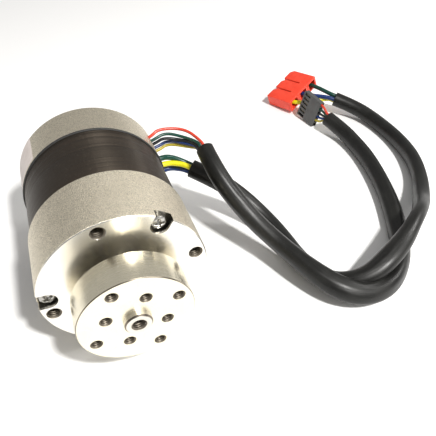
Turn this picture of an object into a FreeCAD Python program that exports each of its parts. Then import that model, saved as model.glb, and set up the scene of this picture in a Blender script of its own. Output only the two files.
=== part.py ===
import FreeCAD, Part
import math
import os

Vector = FreeCAD.Vector
Rotation = FreeCAD.Rotation
Placement = FreeCAD.Placement

# Brushless blade motor for a lawn mower, lying on its side. All sizes are in millimetres.
# The origin is the centre of the front mounting face, on the shaft axis. +Y runs back along
# the shaft, the blade side is -Y and +Z is up. Angles run from +X towards +Z about the shaft.
ORIGIN = Vector(0, 0, 0)
SHAFT_LINE = Vector(0, 1, 0)
UP = Vector(0, 0, 1)

# Fits and clearances
fit_gap = 0.02
running_gap = 0.05
loose_gap = 0.3

# Front end cap
front_cap_diameter = 57.0
front_cap_length = 24.0
front_lip = 5.0
bearing_lip = 0.5
cap_edge_chamfer = 0.4

# Rear end cap, a little smaller than the front one
rear_cap_step = 0.5
rear_cap_diameter = front_cap_diameter - 2 * rear_cap_step
rear_wall = 2.5
bearing_sleeve_wall = 2.2

# Mounting holes in the front face, tapped M5
mount_edge = 3.5
mount_circle = front_cap_diameter - 2 * mount_edge
mount_count = 4
mount_first_angle = 12.3
mount_tap_diameter = 4.2
mount_mouth_diameter = 5.0
mount_depth = 10.0

# Tie screws M3 that clamp both end caps on the stator
tie_count = 3
tie_first_angle = 57.6
tie_diameter = 3.0
tie_hole_gap = 0.15
tie_head_diameter = 5.2
tie_head_height = 2.0
tie_pocket_gap = 0.6
tie_pocket_depth = 3.2
tie_engagement = 12.0
recess_width = 0.8
recess_span = 2.8
recess_depth = 1.1
head_wall_share = 0.45
head_top_share = 0.7
recess_share = 0.6

# Stator with twelve wound teeth, in proportion to its diameter
stator_step = 1.0
stator_diameter = front_cap_diameter - 2 * stator_step
stator_length = 27.5
yoke_share = 5.0 / 55.0
yoke_thickness = yoke_share * stator_diameter
slot_count = 12
tooth_share = 4.2 / 55.0
tooth_width = tooth_share * stator_diameter
shoe_thickness = 1.2
slot_opening = 2.0
air_gap = 0.6
slot_insulation = 0.4
end_plate = 1.0
insulator_rim = 1.0
insulator_lip = 0.4
coil_spacing = 0.25
coil_corner = 1.2

# Rotor with eight magnets
rotor_share = 28.0 / 55.0
rotor_diameter = rotor_share * stator_diameter
magnet_share = 0.1
magnet_thickness = magnet_share * rotor_diameter
pole_count = 8
magnet_spacing = 1.0
rotor_overhang = 0.5
core_hole_diameter = 2.6
core_hole_count = 4
core_hole_first_angle = 45.0

# Shaft
shaft_diameter = 9.0
shoulder_diameter = 12.0
shaft_stickout = 2.0
shaft_chamfer = 0.5
shaft_tap_diameter = 4.2
shaft_tap_mouth = 5.0
shaft_tap_depth = 12.0
shaft_tail = 0.5
clip_groove_depth = 0.35
clip_thickness = 0.8
clip_width = 1.6
clip_opening = 3.0

# Deep groove ball bearings
bearing_diameter = 24.0
bearing_width = 7.0
ring_wall = 2.1
inner_land = shaft_diameter + 2 * ring_wall
outer_land = bearing_diameter - 2 * ring_wall
ball_diameter = 4.76
ball_count = 7
ball_gap = 0.12
cage_wall = 1.2
cage_rim = 0.3
shield_thickness = 0.45
shield_inset = 0.1
shield_gap = 0.15
spring_height = 1.0
spring_thickness = 0.4
spring_width = 1.6

# Lip seal in the front wall
seal_diameter = 17.0
seal_length = 2.8
seal_inset = 0.8
seal_wall = 1.3
seal_web = 1.0
seal_lip = 0.8

# Blade hub with eight tapped M4 holes
hub_diameter = 37.5
hub_length = 11.3
hub_gap = 4.7
hub_chamfer = 0.3
hub_tap_diameter = 3.3
hub_tap_mouth = 4.1
hub_hole_count = 4
hub_edge = 3.75
hub_circle_step = 5.0
hub_outer_circle = hub_diameter - 2 * hub_edge
hub_inner_circle = hub_outer_circle - 2 * hub_circle_step
hub_inner_angle = 69.0
hub_outer_angle = 24.0
grub_diameter = 3.0
grub_length = 8.0
grub_angle = 225.0
grub_flat_depth = 0.3
grub_socket = 1.5
grub_socket_depth = 2.0

# Position sensor board behind the rotor
board_thickness = 1.6
board_boss_height = 0.6
board_boss_diameter = 5.0
board_inner_gap = 0.8
board_screw_diameter = 2.0
board_screw_head = 3.8
board_screw_head_height = 1.2
board_screw_bite = 1.8
board_screw_angles = (75.0, 180.0, 285.0)
sensor_angles = (165.0, 195.0, 225.0)
sensor_width = 4.1
sensor_depth = 1.5
sensor_length = 3.0
sensor_overlap = 1.5
sensor_leg = 0.45
sensor_leg_pitch = 1.27
sensor_gap = 0.5
sensor_sleeve_gap = 0.3
lead_pin_diameter = 0.9
lead_pin_angles = (120.0, 210.0, 300.0)
rotor_end_gap = 0.7

# Leads: thin sensor wires and thick phase wires, each group in its own grommet
hall_wire_diameter = 1.1
hall_wire_angles = {"red": 25.0, "green": 21.0, "black": 17.0, "blue": 12.9, "yellow": 8.8}
hall_pad_inset = 2.2
phase_wire_diameter = 2.4
phase_wire_angles = {"green": 1.5, "yellow": -5.3, "blue": -12.1}
phase_pad_inset = 1.2
grommet_margin = 0.6
grommet_recess = 0.4
hall_reach = 4.5
phase_reach = 2.0
sleeve_diameter = 8.0
hall_row_spacing = 1.3
phase_ring_radius = 1.75
phase_ring_angles = {"yellow": 30.0, "green": 150.0, "blue": 270.0}
phase_plug_angles = {"yellow": 300.0, "blue": 60.0, "green": 180.0}
phase_cells = ("yellow", "blue", "green")
hall_lead_in = 4.5
phase_lead_in = 4.5
hall_plug_lead_in = 3.2
phase_plug_lead_in = 6.0
hall_plug_exit = 1.5
phase_plug_exit = 2.2
bend_share = 0.45

# Routes of the two sleeved cables, from the motor to their connectors, and the crest of each wire.
# They are drawn for this side and rear end of the rear cap and this floor, and move with them.
route_side = 28.0
route_rear = 67.69
route_floor = -28.5
hall_points = [
    Vector(46, 51.5, 8), Vector(46.6, 41, 4.2), Vector(50.6, 32.5, -2.8), Vector(56.9, 22.2, -11),
    Vector(64.1, 9.9, -16.6), Vector(69.5, -4.4, -17.4), Vector(77, -16.5, -19.5), Vector(88, -20.7, -22.8),
    Vector(100.5, -17.6, -24.5), Vector(111.5, -6.5, -24.5), Vector(120.5, 8.5, -24.5), Vector(128, 24.5, -24.5),
    Vector(133.5, 41, -24.5), Vector(137, 56.5, -24.5), Vector(138.5, 70.5, -24.5), Vector(138, 81.8, -23),
    Vector(134, 89.6, -21.2)]
phase_points = [
    Vector(41.7, 57.6, -5), Vector(51.1, 49.3, -8.2), Vector(59.3, 42.3, -14.6), Vector(66, 33.8, -21.2),
    Vector(70, 22.7, -24.5), Vector(71.9, 6.5, -24.5), Vector(78, -6, -23.5), Vector(89, -11.5, -19),
    Vector(102.5, -9.5, -13.6), Vector(116, -2, -13.3), Vector(129.5, 8.5, -17.5), Vector(141, 20, -22),
    Vector(151, 33, -24.5), Vector(158, 47, -24.5), Vector(162, 62, -24.5), Vector(163.5, 77, -24.5),
    Vector(162.5, 91, -24), Vector(158, 102, -22.5), Vector(150.4, 109.7, -20)]
hall_tops = {
    "red": Vector(38, 60, 16.2), "green": Vector(38.3, 60, 13.6), "black": Vector(38.6, 60, 11.6),
    "blue": Vector(38.6, 60, 9.6), "yellow": Vector(38.6, 60, 7.6)}
phase_tops = {
    "green": Vector(35, 63.1, -1.4), "yellow": Vector(33.2, 61.2, -3.1), "blue": Vector(33.9, 62.3, -5.6)}

# Power connector: three fingers side by side, lying on its near lower edge
power_length = 17.9
power_pitch = 8.33
power_height = 7.0
power_slit = 0.65
power_slit_depth = 12.5
power_tip_chamfer = 2.2
power_wall = 1.1
power_front_wall = 1.2
power_mouth_height = 1.0
power_point = Vector(117.0, 133.0, -28.5)
power_heading = -66.9
power_rise = -7.0
power_tilt = 19.5
power_count = 3
terminal_length = 9.0
terminal_height = 2.4
terminal_slot = 1.0
terminal_slot_share = 0.8
barrel_length = 2.5

# Signal connector: six cavities in a row, standing on its narrow side
signal_length = 14.0
signal_pitch = 2.54
signal_count = 6
signal_thickness = 3.4
signal_cavity = 1.95
signal_front_wall = 0.8
signal_pin_hole = 1.0
signal_window_width = 1.4
signal_window_length = 3.0
signal_window_start = 1.4
signal_point = Vector(125.4, 113.9, -26.1)
signal_heading = -78.4
signal_rise = 7.2
signal_tilt = -10.2
contact_length = 8.0
contact_barrel_length = 2.0
contact_bore_share = 0.7

# Stations along the shaft, worked out from the sizes above
front_wall = front_lip + bearing_width + bearing_lip
stator_front = front_cap_length
stator_back = stator_front + stator_length
rotor_front = stator_front - rotor_overhang

# Radii, worked out from the sizes above
front_radius = front_cap_diameter / 2
rear_radius = rear_cap_diameter / 2
cavity_radius = stator_diameter / 2 - yoke_thickness
tie_radius = stator_diameter / 2 - yoke_thickness / 2
shaft_radius = shaft_diameter / 2
shoulder_radius = shoulder_diameter / 2
seat_radius = bearing_diameter / 2 + fit_gap
housing_radius = seat_radius + bearing_sleeve_wall
rotor_radius = rotor_diameter / 2
core_radius = rotor_radius - magnet_thickness
bore_radius = rotor_radius + air_gap
shoe_radius = bore_radius + shoe_thickness

# Winding, worked out from the slot
coil_inner = shoe_radius + insulator_lip
coil_opening = tooth_width + 2 * slot_insulation
coil_side = coil_inner * math.tan(math.pi / slot_count) - coil_opening / 2 - coil_spacing
coil_half_width = coil_opening / 2 + coil_side
rim_outer = cavity_radius - loose_gap
rim_inner = rim_outer - insulator_rim
coil_outer = math.sqrt(rim_inner ** 2 - coil_half_width ** 2) - fit_gap
winding_overhang = end_plate + coil_side + insulator_lip
coil_back = stator_back + end_plate + coil_side

# Rear stack, worked out from the winding towards the rear wall
sensor_front = stator_back + winding_overhang + sensor_gap
rotor_back = sensor_front + sensor_overlap
rear_bearing_front = rotor_back + rotor_end_gap
rear_bearing_back = rear_bearing_front + bearing_width
rear_wall_inside = rear_bearing_back + spring_height
rear_end = rear_wall_inside + rear_wall
board_back = rear_wall_inside - board_boss_height
board_front = board_back - board_thickness
board_inner = housing_radius + board_inner_gap
board_outer = cavity_radius - loose_gap
board_screw_radius = (board_inner + board_outer) / 2

# Front stack, worked out from the hub
hub_back = -hub_gap
hub_front = hub_back - hub_length
shaft_front = hub_front - shaft_stickout
hub_radius = hub_diameter / 2
hub_middle = (hub_front + hub_back) / 2

# Cables and connectors, moved with the rear cap and the floor
route_shift = Vector(rear_radius - route_side, rear_end - route_rear, -front_radius - route_floor)
hall_route = [point + route_shift for point in hall_points]
phase_route = [point + route_shift for point in phase_points]
hall_crests = {colour: point + route_shift for colour, point in hall_tops.items()}
phase_crests = {colour: point + route_shift for colour, point in phase_tops.items()}
power_corner = power_point + route_shift
signal_corner = signal_point + route_shift


def polar(radius, angle, y=0.0):
    """Point at a radius and an angle about the shaft, at a station along it."""
    turn = math.radians(angle)
    return Vector(radius * math.cos(turn), y, radius * math.sin(turn))


def turned(shape, angle):
    """Copy of a shape, turned about the shaft."""
    copy = shape.copy()
    copy.rotate(ORIGIN, SHAFT_LINE, -angle)
    return copy


def ring_of(shape, count, first=0.0):
    """Evenly spaced copies of a shape about the shaft."""
    return [turned(shape, first + 360.0 * k / count) for k in range(count)]


def rod(radius, start, end):
    """Round bar from one point to another."""
    run = end - start
    return Part.makeCylinder(radius, run.Length, start, run)


def axial(radius, y0, y1, centre=ORIGIN):
    """Round bar along the shaft direction between two stations."""
    return rod(radius, Vector(centre.x, y0, centre.z), Vector(centre.x, y1, centre.z))


def tube(inner, outer, y0, y1):
    """Ring about the shaft between two stations."""
    return axial(outer, y0, y1).cut(axial(inner, y0, y1))


def face_of(points):
    """Flat face with straight sides."""
    return Part.Face(Part.makePolygon(points + points[:1]))


def lathe(outline):
    """Solid turned about the shaft from (radius, y) points."""
    return face_of([Vector(radius, y, 0) for radius, y in outline]).revolve(ORIGIN, SHAFT_LINE, 360)


def sector(inner, outer, first, last, y0, y1):
    """Block between two radii, two angles and two stations."""
    outline = [(inner, y0), (outer, y0), (outer, y1), (inner, y1)]
    face = face_of([Vector(radius, y, 0) for radius, y in outline])
    return turned(face.revolve(ORIGIN, SHAFT_LINE * -1, last - first), first)


def block(x, y, z):
    """Box between three pairs of limits."""
    size = (x[1] - x[0], y[1] - y[0], z[1] - z[0])
    return Part.makeBox(size[0], size[1], size[2], Vector(x[0], y[0], z[0]))


def tapped_hole(tap, mouth, centre, y_mouth, y_end):
    """Cutter for a tapped hole along the shaft direction, with a chamfered mouth."""
    bevel = (mouth - tap) / 2
    step = math.copysign(bevel, y_end - y_mouth)
    top = Vector(centre.x, y_mouth, centre.z)
    cone = Part.makeCone(mouth / 2, tap / 2, bevel, top, SHAFT_LINE * math.copysign(1, step))
    return rod(tap / 2, top, Vector(centre.x, y_end, centre.z)).fuse(cone)


def hexagon(across, start, end):
    """Six-sided bar between two points, by its width across flats."""
    line = (end - start).normalize()
    side = line.cross(UP if abs(line.z) < 0.9 else SHAFT_LINE).normalize()
    corner = side * (across / math.sqrt(3))
    points = [start + Rotation(line, 60.0 * k).multVec(corner) for k in range(6)]
    return face_of(points).extrude(end - start)


def pan_screw(radius, head_radius, head_height, seat, end):
    """Pan head screw with a cross recess, from its head's seat to its tip."""
    line = (end - seat).normalize()
    rise = line * -head_height
    shoulder = rise * head_wall_share
    head = rod(head_radius, seat, seat + shoulder)
    dome = Part.makeCone(head_radius, head_radius * head_top_share, (rise - shoulder).Length,
                         seat + shoulder, rise)
    top = Vector(seat.x, seat.y - head_height, seat.z)
    half = (recess_span / 2, recess_width / 2)
    deep = (top.y - fit_gap, top.y + min(recess_depth, head_height * recess_share))
    cross = [
        block((top.x - a, top.x + a), deep, (top.z - b, top.z + b))
        for a, b in (half, half[::-1])]
    return head.fuse([dome, rod(radius, seat, end)]).cut(cross).removeSplitter()


def cord_path(points):
    """Straight runs joined by tangent arcs, each arc as large as its two runs allow."""
    edges = []
    radii = []
    last = points[0]
    for before, corner, after in zip(points, points[1:], points[2:]):
        back = before - corner
        ahead = after - corner
        reach = bend_share * min(back.Length, ahead.Length)
        half_turn = (math.pi - back.getAngle(ahead)) / 2
        radius = reach / math.tan(half_turn)
        into = corner + back.normalize() * reach
        out = corner + ahead.normalize() * reach
        inward = (back + ahead).normalize()
        middle = corner + inward * (radius / math.cos(half_turn) - radius)
        edges.append(Part.LineSegment(last, into).toShape())
        edges.append(Part.Arc(into, middle, out).toShape())
        radii.append(radius)
        last = out
    edges.append(Part.LineSegment(last, points[-1]).toShape())
    return Part.Wire(edges), radii


def cord(name, points, diameter):
    """Round cord along a route; prints its length, tightest bend and volume against section times length."""
    path, radii = cord_path(points)
    circle = Part.Circle(points[0], points[1] - points[0], diameter / 2)
    section = Part.Face(Part.Wire(circle.toShape()))
    solid = path.makePipe(section)
    share = solid.Volume / (section.Area * path.Length)
    print("cord %s length %.1f volume share %.4f radii %s" % (
        name, path.Length, share, " ".join("%.1f" % radius for radius in radii)))
    return solid


def front_end_cap():
    """Front cap: mounting face, tie screw pockets, seal bore, bearing seat and winding cavity."""
    chamfer = cap_edge_chamfer
    seal_bore = seal_diameter / 2 + fit_gap
    cap = lathe([
        (seal_bore, 0), (front_radius - chamfer, 0), (front_radius, chamfer),
        (front_radius, front_cap_length - chamfer), (front_radius - chamfer, front_cap_length),
        (cavity_radius, front_cap_length), (cavity_radius, front_wall), (seat_radius, front_wall),
        (seat_radius, front_lip), (seal_bore, front_lip)])
    mount = tapped_hole(mount_tap_diameter, mount_mouth_diameter, polar(mount_circle / 2, 0), 0, mount_depth)
    half_width = tie_head_diameter / 2 + tie_pocket_gap
    pocket = axial(half_width, 0, tie_pocket_depth, polar(tie_radius, 0))
    breakout = block((tie_radius, front_radius + loose_gap), (0, tie_pocket_depth), (-half_width, half_width))
    hole = axial(tie_diameter / 2 + tie_hole_gap, 0, front_cap_length, polar(tie_radius, 0))
    ties = pocket.fuse([breakout, hole])
    cutters = ring_of(mount, mount_count, mount_first_angle) + ring_of(ties, tie_count, tie_first_angle)
    return cap.cut(cutters)


def lead_slots():
    """Angle and station limits of the two grommets: (first, last, y0, y1) for the thin and thick leads."""
    slots = {}
    groups = (
        ("hall", hall_wire_diameter, hall_wire_angles), ("phase", phase_wire_diameter, phase_wire_angles))
    for name, diameter, angles in groups:
        margin = math.degrees((diameter / 2 + grommet_margin) / rear_radius)
        y = lead_station(diameter)
        half = diameter / 2 + grommet_margin
        slots[name] = (min(angles.values()) - margin, max(angles.values()) + margin, y - half, y + half)
    return slots


def lead_station(diameter):
    """Station of a lead that lies against the front of the sensor board."""
    return board_front - diameter / 2 - fit_gap


def rear_end_cap():
    """Rear cap: closed cup with a bearing sleeve, board bosses, tie screw threads and lead slots."""
    chamfer = cap_edge_chamfer
    cap = lathe([
        (cavity_radius, stator_back), (rear_radius - chamfer, stator_back),
        (rear_radius, stator_back + chamfer), (rear_radius, rear_end - chamfer),
        (rear_radius - chamfer, rear_end), (0, rear_end), (0, rear_wall_inside),
        (seat_radius, rear_wall_inside), (seat_radius, rear_bearing_front),
        (housing_radius, rear_bearing_front), (housing_radius, rear_wall_inside),
        (cavity_radius, rear_wall_inside)])
    bosses = [
        axial(board_boss_diameter / 2, board_back, rear_wall_inside, polar(board_screw_radius, angle))
        for angle in board_screw_angles]
    pilots = [
        axial(board_screw_diameter / 2 + fit_gap, board_back, rear_wall_inside + board_screw_bite,
              polar(board_screw_radius, angle))
        for angle in board_screw_angles]
    tie = axial(tie_diameter / 2 + fit_gap, stator_back, stator_back + tie_engagement + loose_gap,
                polar(tie_radius, 0))
    slots = [
        sector(cavity_radius - loose_gap, rear_radius + loose_gap, first, last, y0, y1)
        for first, last, y0, y1 in lead_slots().values()]
    cutters = pilots + ring_of(tie, tie_count, tie_first_angle) + slots
    return cap.fuse(bosses).cut(cutters).removeSplitter()


def stator_core():
    """Laminated core: a yoke with inward teeth and pole shoes, drilled for the tie screws."""
    yoke = tube(cavity_radius, stator_diameter / 2, stator_front, stator_back)
    tooth = block((shoe_radius - fit_gap, cavity_radius + yoke_thickness / 4),
                  (stator_front, stator_back), (-tooth_width / 2, tooth_width / 2))
    half_angle = shoe_half_angle()
    shoe = sector(bore_radius, shoe_radius, -half_angle, half_angle, stator_front, stator_back)
    hole = axial(tie_diameter / 2 + tie_hole_gap, stator_front, stator_back, polar(tie_radius, 0))
    teeth = ring_of(tooth.fuse(shoe), slot_count)
    return yoke.fuse(teeth).cut(ring_of(hole, tie_count, tie_first_angle)).removeSplitter()


def shoe_half_angle():
    """Half of the angle that a pole shoe covers at the stator bore."""
    return 180.0 / slot_count - math.degrees(math.asin(slot_opening / 2 / bore_radius))


def slot_insulator(face, outward):
    """Moulded end insulator on one end of the core: tooth plates between an inner and an outer rim."""
    def span(height):
        return tuple(sorted((face, face + outward * height)))
    half_angle = shoe_half_angle()
    rim = tube(rim_inner, rim_outer, *span(winding_overhang))
    plate = block((shoe_radius - shoe_thickness / 2, rim_inner + insulator_rim / 2),
                  span(end_plate), (-coil_opening / 2, coil_opening / 2))
    post = sector(bore_radius + loose_gap, coil_inner - fit_gap, -half_angle, half_angle,
                  *span(winding_overhang))
    return rim.fuse(ring_of(plate.fuse(post), slot_count)).removeSplitter()


def stator_coils():
    """One wound coil round each tooth."""
    half = coil_half_width
    outer = block((coil_inner, coil_outer), (stator_front - end_plate - coil_side, coil_back), (-half, half))
    corners = [edge for edge in outer.Edges if abs(edge.tangentAt(edge.FirstParameter).x) > 0.9]
    outer = outer.makeFillet(min(coil_corner, coil_side * 0.9), corners)
    inner = block((coil_inner, coil_outer), (stator_front - end_plate, stator_back + end_plate),
                  (-coil_opening / 2, coil_opening / 2))
    return Part.makeCompound(ring_of(outer.cut(inner), slot_count))


def winding_leads():
    """Ends of the three phase windings, standing from the coils to the board."""
    radius = (coil_inner + coil_outer) / 2
    return Part.makeCompound([
        axial(lead_pin_diameter / 2, coil_back, board_front, polar(radius, angle))
        for angle in lead_pin_angles])


def sensor_board():
    """Ring-shaped circuit board around the rear bearing sleeve."""
    holes = [
        axial(board_screw_diameter / 2 + tie_hole_gap, board_front, board_back,
              polar(board_screw_radius, angle))
        for angle in board_screw_angles]
    return tube(board_inner, board_outer, board_front, board_back).cut(holes)


def hall_sensors():
    """Three position sensors on legs, beside the rear end of the magnets."""
    inner = max(bore_radius, housing_radius + sensor_sleeve_gap)
    body = block((inner, inner + sensor_depth), (sensor_front, sensor_front + sensor_length),
                 (-sensor_width / 2, sensor_width / 2))
    leg_radius = inner + sensor_depth - sensor_leg
    legs = [
        block((leg_radius - sensor_leg / 2, leg_radius + sensor_leg / 2),
              (sensor_front + sensor_length, board_front),
              (z - sensor_leg / 2, z + sensor_leg / 2))
        for z in (-sensor_leg_pitch, 0.0, sensor_leg_pitch)]
    sensor = body.fuse(legs).removeSplitter()
    return Part.makeCompound([turned(sensor, angle) for angle in sensor_angles])


def board_screws():
    """Screws that hold the board on its bosses."""
    end = rear_wall_inside + board_screw_bite - fit_gap
    return Part.makeCompound([
        pan_screw(board_screw_diameter / 2, board_screw_head / 2, board_screw_head_height,
                  polar(board_screw_radius, angle, board_front), polar(board_screw_radius, angle, end))
        for angle in board_screw_angles])


def tie_screws():
    """Long screws from the front pockets into the rear cap."""
    angles = [tie_first_angle + 360.0 * k / tie_count for k in range(tie_count)]
    return Part.makeCompound([
        pan_screw(tie_diameter / 2, tie_head_diameter / 2, tie_head_height,
                  polar(tie_radius, angle, tie_pocket_depth),
                  polar(tie_radius, angle, stator_back + tie_engagement))
        for angle in angles])


def bearing(front):
    """Pieces of one ball bearing by name, with its front face at a station."""
    back = front + bearing_width
    middle = (front + back) / 2
    pitch_radius = (inner_land + outer_land) / 4
    groove = Part.makeTorus(pitch_radius, ball_diameter / 2 + ball_gap, Vector(0, middle, 0), SHAFT_LINE)
    balls = [
        Part.makeSphere(ball_diameter / 2, polar(pitch_radius, 360.0 * k / ball_count, middle))
        for k in range(ball_count)]
    half_cage = ball_diameter / 2 + ball_gap + cage_rim
    ring = tube(pitch_radius - cage_wall / 2, pitch_radius + cage_wall / 2,
                middle - half_cage, middle + half_cage)
    pocket = rod(ball_diameter / 2 + ball_gap, polar(pitch_radius - cage_wall, 0, middle),
                 polar(pitch_radius + cage_wall, 0, middle))
    shields = [
        tube(inner_land / 2 + shield_gap, outer_land / 2 - fit_gap, y, y + shield_thickness)
        for y in (front + shield_inset, back - shield_inset - shield_thickness)]
    return {
        "outer_ring": tube(outer_land / 2, bearing_diameter / 2, front, back).cut(groove),
        "inner_ring": tube(shaft_radius + fit_gap, inner_land / 2, front, back).cut(groove),
        "balls": Part.makeCompound(balls),
        "cage": ring.cut(ring_of(pocket, ball_count)),
        "shields": Part.makeCompound(shields)}


def preload_spring():
    """Coned spring washer between the rear wall and the rear bearing's outer ring."""
    outer = bearing_diameter / 2 - loose_gap
    inner = outer - spring_width
    return lathe([
        (outer, rear_bearing_back), (outer, rear_bearing_back + spring_thickness),
        (inner, rear_wall_inside), (inner, rear_wall_inside - spring_thickness)])


def shaft_seal():
    """Lip seal pressed into the front wall, its lip just clear of the shaft."""
    outer = seal_diameter / 2
    lip = shaft_radius + running_gap
    front = seal_inset
    back = seal_inset + seal_length
    web = back - seal_web
    return lathe([
        (outer, back), (outer, front), (outer - seal_wall, front), (outer - seal_wall, web),
        (lip + 2 * seal_lip, web), (lip + seal_lip, front), (lip, front), (lip, front + seal_lip),
        (lip + seal_lip, back)])


def shaft():
    """Stepped shaft with a tapped front end, a clip groove and a flat for the grub screw."""
    groove_front = front_lip - running_gap - clip_thickness - 2 * fit_gap
    groove_back = front_lip - running_gap
    groove = shaft_radius - clip_groove_depth
    tail = rear_bearing_back + shaft_tail
    bar = lathe([
        (0, shaft_front), (shaft_radius - shaft_chamfer, shaft_front),
        (shaft_radius, shaft_front + shaft_chamfer), (shaft_radius, groove_front), (groove, groove_front),
        (groove, groove_back), (shaft_radius, groove_back), (shaft_radius, front_lip + bearing_width),
        (shoulder_radius, front_lip + bearing_width), (shoulder_radius, rear_bearing_front),
        (shaft_radius, rear_bearing_front), (shaft_radius, tail - shaft_chamfer),
        (shaft_radius - shaft_chamfer, tail), (0, tail)])
    thread = tapped_hole(shaft_tap_diameter, shaft_tap_mouth, ORIGIN, shaft_front, shaft_front + shaft_tap_depth)
    flat = block((shaft_radius - grub_flat_depth, shaft_radius + loose_gap),
                 (hub_middle - grub_diameter, hub_middle + grub_diameter), (-shaft_radius, shaft_radius))
    return bar.cut([thread, turned(flat, grub_angle)])


def shaft_clip():
    """Open retaining ring in the shaft groove, in front of the front bearing."""
    inner = shaft_radius - clip_groove_depth + fit_gap
    back = front_lip - running_gap - fit_gap
    ring = tube(inner, inner + clip_width, back - clip_thickness, back)
    opening = block((0, inner + 2 * clip_width), (back - clip_thickness, back),
                    (-clip_opening / 2, clip_opening / 2))
    return ring.cut(opening)


def rotor_core():
    """Steel core on the shaft, with balancing holes."""
    core = tube(shoulder_radius + fit_gap, core_radius, rotor_front, rotor_back)
    hole = axial(core_hole_diameter / 2, rotor_front, rotor_back,
                 polar((shoulder_radius + core_radius) / 2, 0))
    return core.cut(ring_of(hole, core_hole_count, core_hole_first_angle))


def rotor_magnets():
    """Arc magnets bonded round the core."""
    half = 180.0 / pole_count - math.degrees(magnet_spacing / 2 / rotor_radius)
    magnet = sector(core_radius + fit_gap, rotor_radius, -half, half, rotor_front, rotor_back)
    return Part.makeCompound(ring_of(magnet, pole_count))


def blade_hub():
    """Turned hub on the shaft end, with two circles of tapped holes for the blade disc."""
    chamfer = hub_chamfer
    bore = shaft_radius + fit_gap
    hub = lathe([
        (bore, hub_front), (hub_radius - chamfer, hub_front), (hub_radius, hub_front + chamfer),
        (hub_radius, hub_back - chamfer), (hub_radius - chamfer, hub_back), (bore, hub_back)])
    cutters = [rod(grub_diameter / 2 + fit_gap, polar(0, grub_angle, hub_middle),
                   polar(hub_radius + loose_gap, grub_angle, hub_middle))]
    circles = ((hub_inner_circle, hub_inner_angle), (hub_outer_circle, hub_outer_angle))
    for circle, first in circles:
        hole = tapped_hole(hub_tap_diameter, hub_tap_mouth, polar(circle / 2, 0), hub_front, hub_back)
        cutters += ring_of(hole, hub_hole_count, first)
    return hub.cut(cutters)


def hub_grub_screw():
    """Socket grub screw that bears on the flat of the shaft."""
    tip = shaft_radius - grub_flat_depth + fit_gap
    start = polar(tip, grub_angle, hub_middle)
    end = polar(tip + grub_length, grub_angle, hub_middle)
    socket = polar(tip + grub_length - grub_socket_depth, grub_angle, hub_middle)
    return rod(grub_diameter / 2, start, end).cut(hexagon(grub_socket, socket, end))


def grommet(slot, diameter, angles):
    """Rubber block that fills a lead slot, with a hole for each wire."""
    first, last, y0, y1 = slot
    inner = cavity_radius
    outer = rear_radius - grommet_recess
    y = lead_station(diameter)
    holes = [
        rod(diameter / 2 + running_gap, polar(inner - diameter, angle, y), polar(outer + diameter, angle, y))
        for angle in angles.values()]
    return sector(inner, outer, first, last, y0, y1).cut(holes)


def across(line, sideways, upwards):
    """Offset square to a line: sideways in the floor plane and upwards."""
    forward = Vector(line).normalize()
    side = forward.cross(UP).normalize()
    return side * sideways + side.cross(forward) * upwards


def motor_lead(angle, diameter, pad_inset, reach, crest, lead_in, offset, route):
    """Route of a wire from the board, out through its grommet, to the mouth of its sleeve."""
    y = lead_station(diameter)
    line = (route[1] - route[0]).normalize()
    mouth = route[0] + across(line, *offset)
    pad = polar(board_outer - pad_inset, angle, y)
    outside = polar(rear_radius + reach, angle, y)
    return [pad, outside, crest, mouth - line * lead_in, mouth]


def plug_lead(start, rearward, lead_in, offset, route):
    """Route of a wire from its terminal to the far mouth of its sleeve."""
    line = (route[-2] - route[-1]).normalize()
    mouth = route[-1] + across(line, *offset)
    return [start, start + rearward, mouth - line * lead_in, mouth]


def plug_turn(heading, rise, tilt):
    """Rotation of a connector: its tilt about local X, its rise about local Y, then its heading about Z."""
    return Rotation(UP, heading) * Rotation(Vector(0, 1, 0), rise) * Rotation(Vector(1, 0, 0), tilt)


def power_place():
    """Placement of the power connector: front to rear along X, width along Y, height along Z."""
    return Placement(power_corner, plug_turn(power_heading, power_rise, power_tilt))


def signal_place():
    """Placement of the signal connector: front to rear along X, thickness along Y, row along Z."""
    return Placement(signal_corner, plug_turn(signal_heading, signal_rise, signal_tilt))


def placed(shape, placement):
    """Copy of a shape moved from its own frame to its place."""
    copy = shape.copy()
    copy.Placement = placement.multiply(copy.Placement)
    return copy


power_width = power_count * power_pitch
power_cells = [power_pitch * (k + 0.5) for k in range(power_count)]
power_cell_half = (power_pitch - power_slit) / 2 - power_wall
barrel_radius = phase_wire_diameter / 2
barrel_end = power_front_wall + loose_gap + terminal_length + barrel_length


def power_connector_housing():
    """Three box-shaped fingers joined at the rear, each with a front mouth and a rear cell."""
    body = block((0, power_length), (0, power_width), (0, power_height))
    cutters = []
    for k in range(1, power_count):
        edge = power_pitch * k
        cutters.append(block((0, power_slit_depth), (edge - power_slit / 2, edge + power_slit / 2),
                             (0, power_height)))
    for centre in power_cells:
        far = centre + power_pitch / 2
        tip = face_of([Vector(0, far, 0), Vector(power_tip_chamfer, far, 0),
                       Vector(0, far - power_tip_chamfer, 0)])
        cutters.append(tip.extrude(Vector(0, 0, power_height)))
        cell = (centre - power_cell_half, centre + power_cell_half)
        cutters.append(block((power_front_wall, power_length), cell, (power_wall, power_height - power_wall)))
        mouth = (power_height - power_mouth_height) / 2
        slot_half = power_cell_half - power_wall / 2
        cutters.append(block((0, power_front_wall), (centre - slot_half, centre + slot_half),
                             (mouth, power_height - mouth)))
    return placed(body.cut(cutters), power_place())


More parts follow.
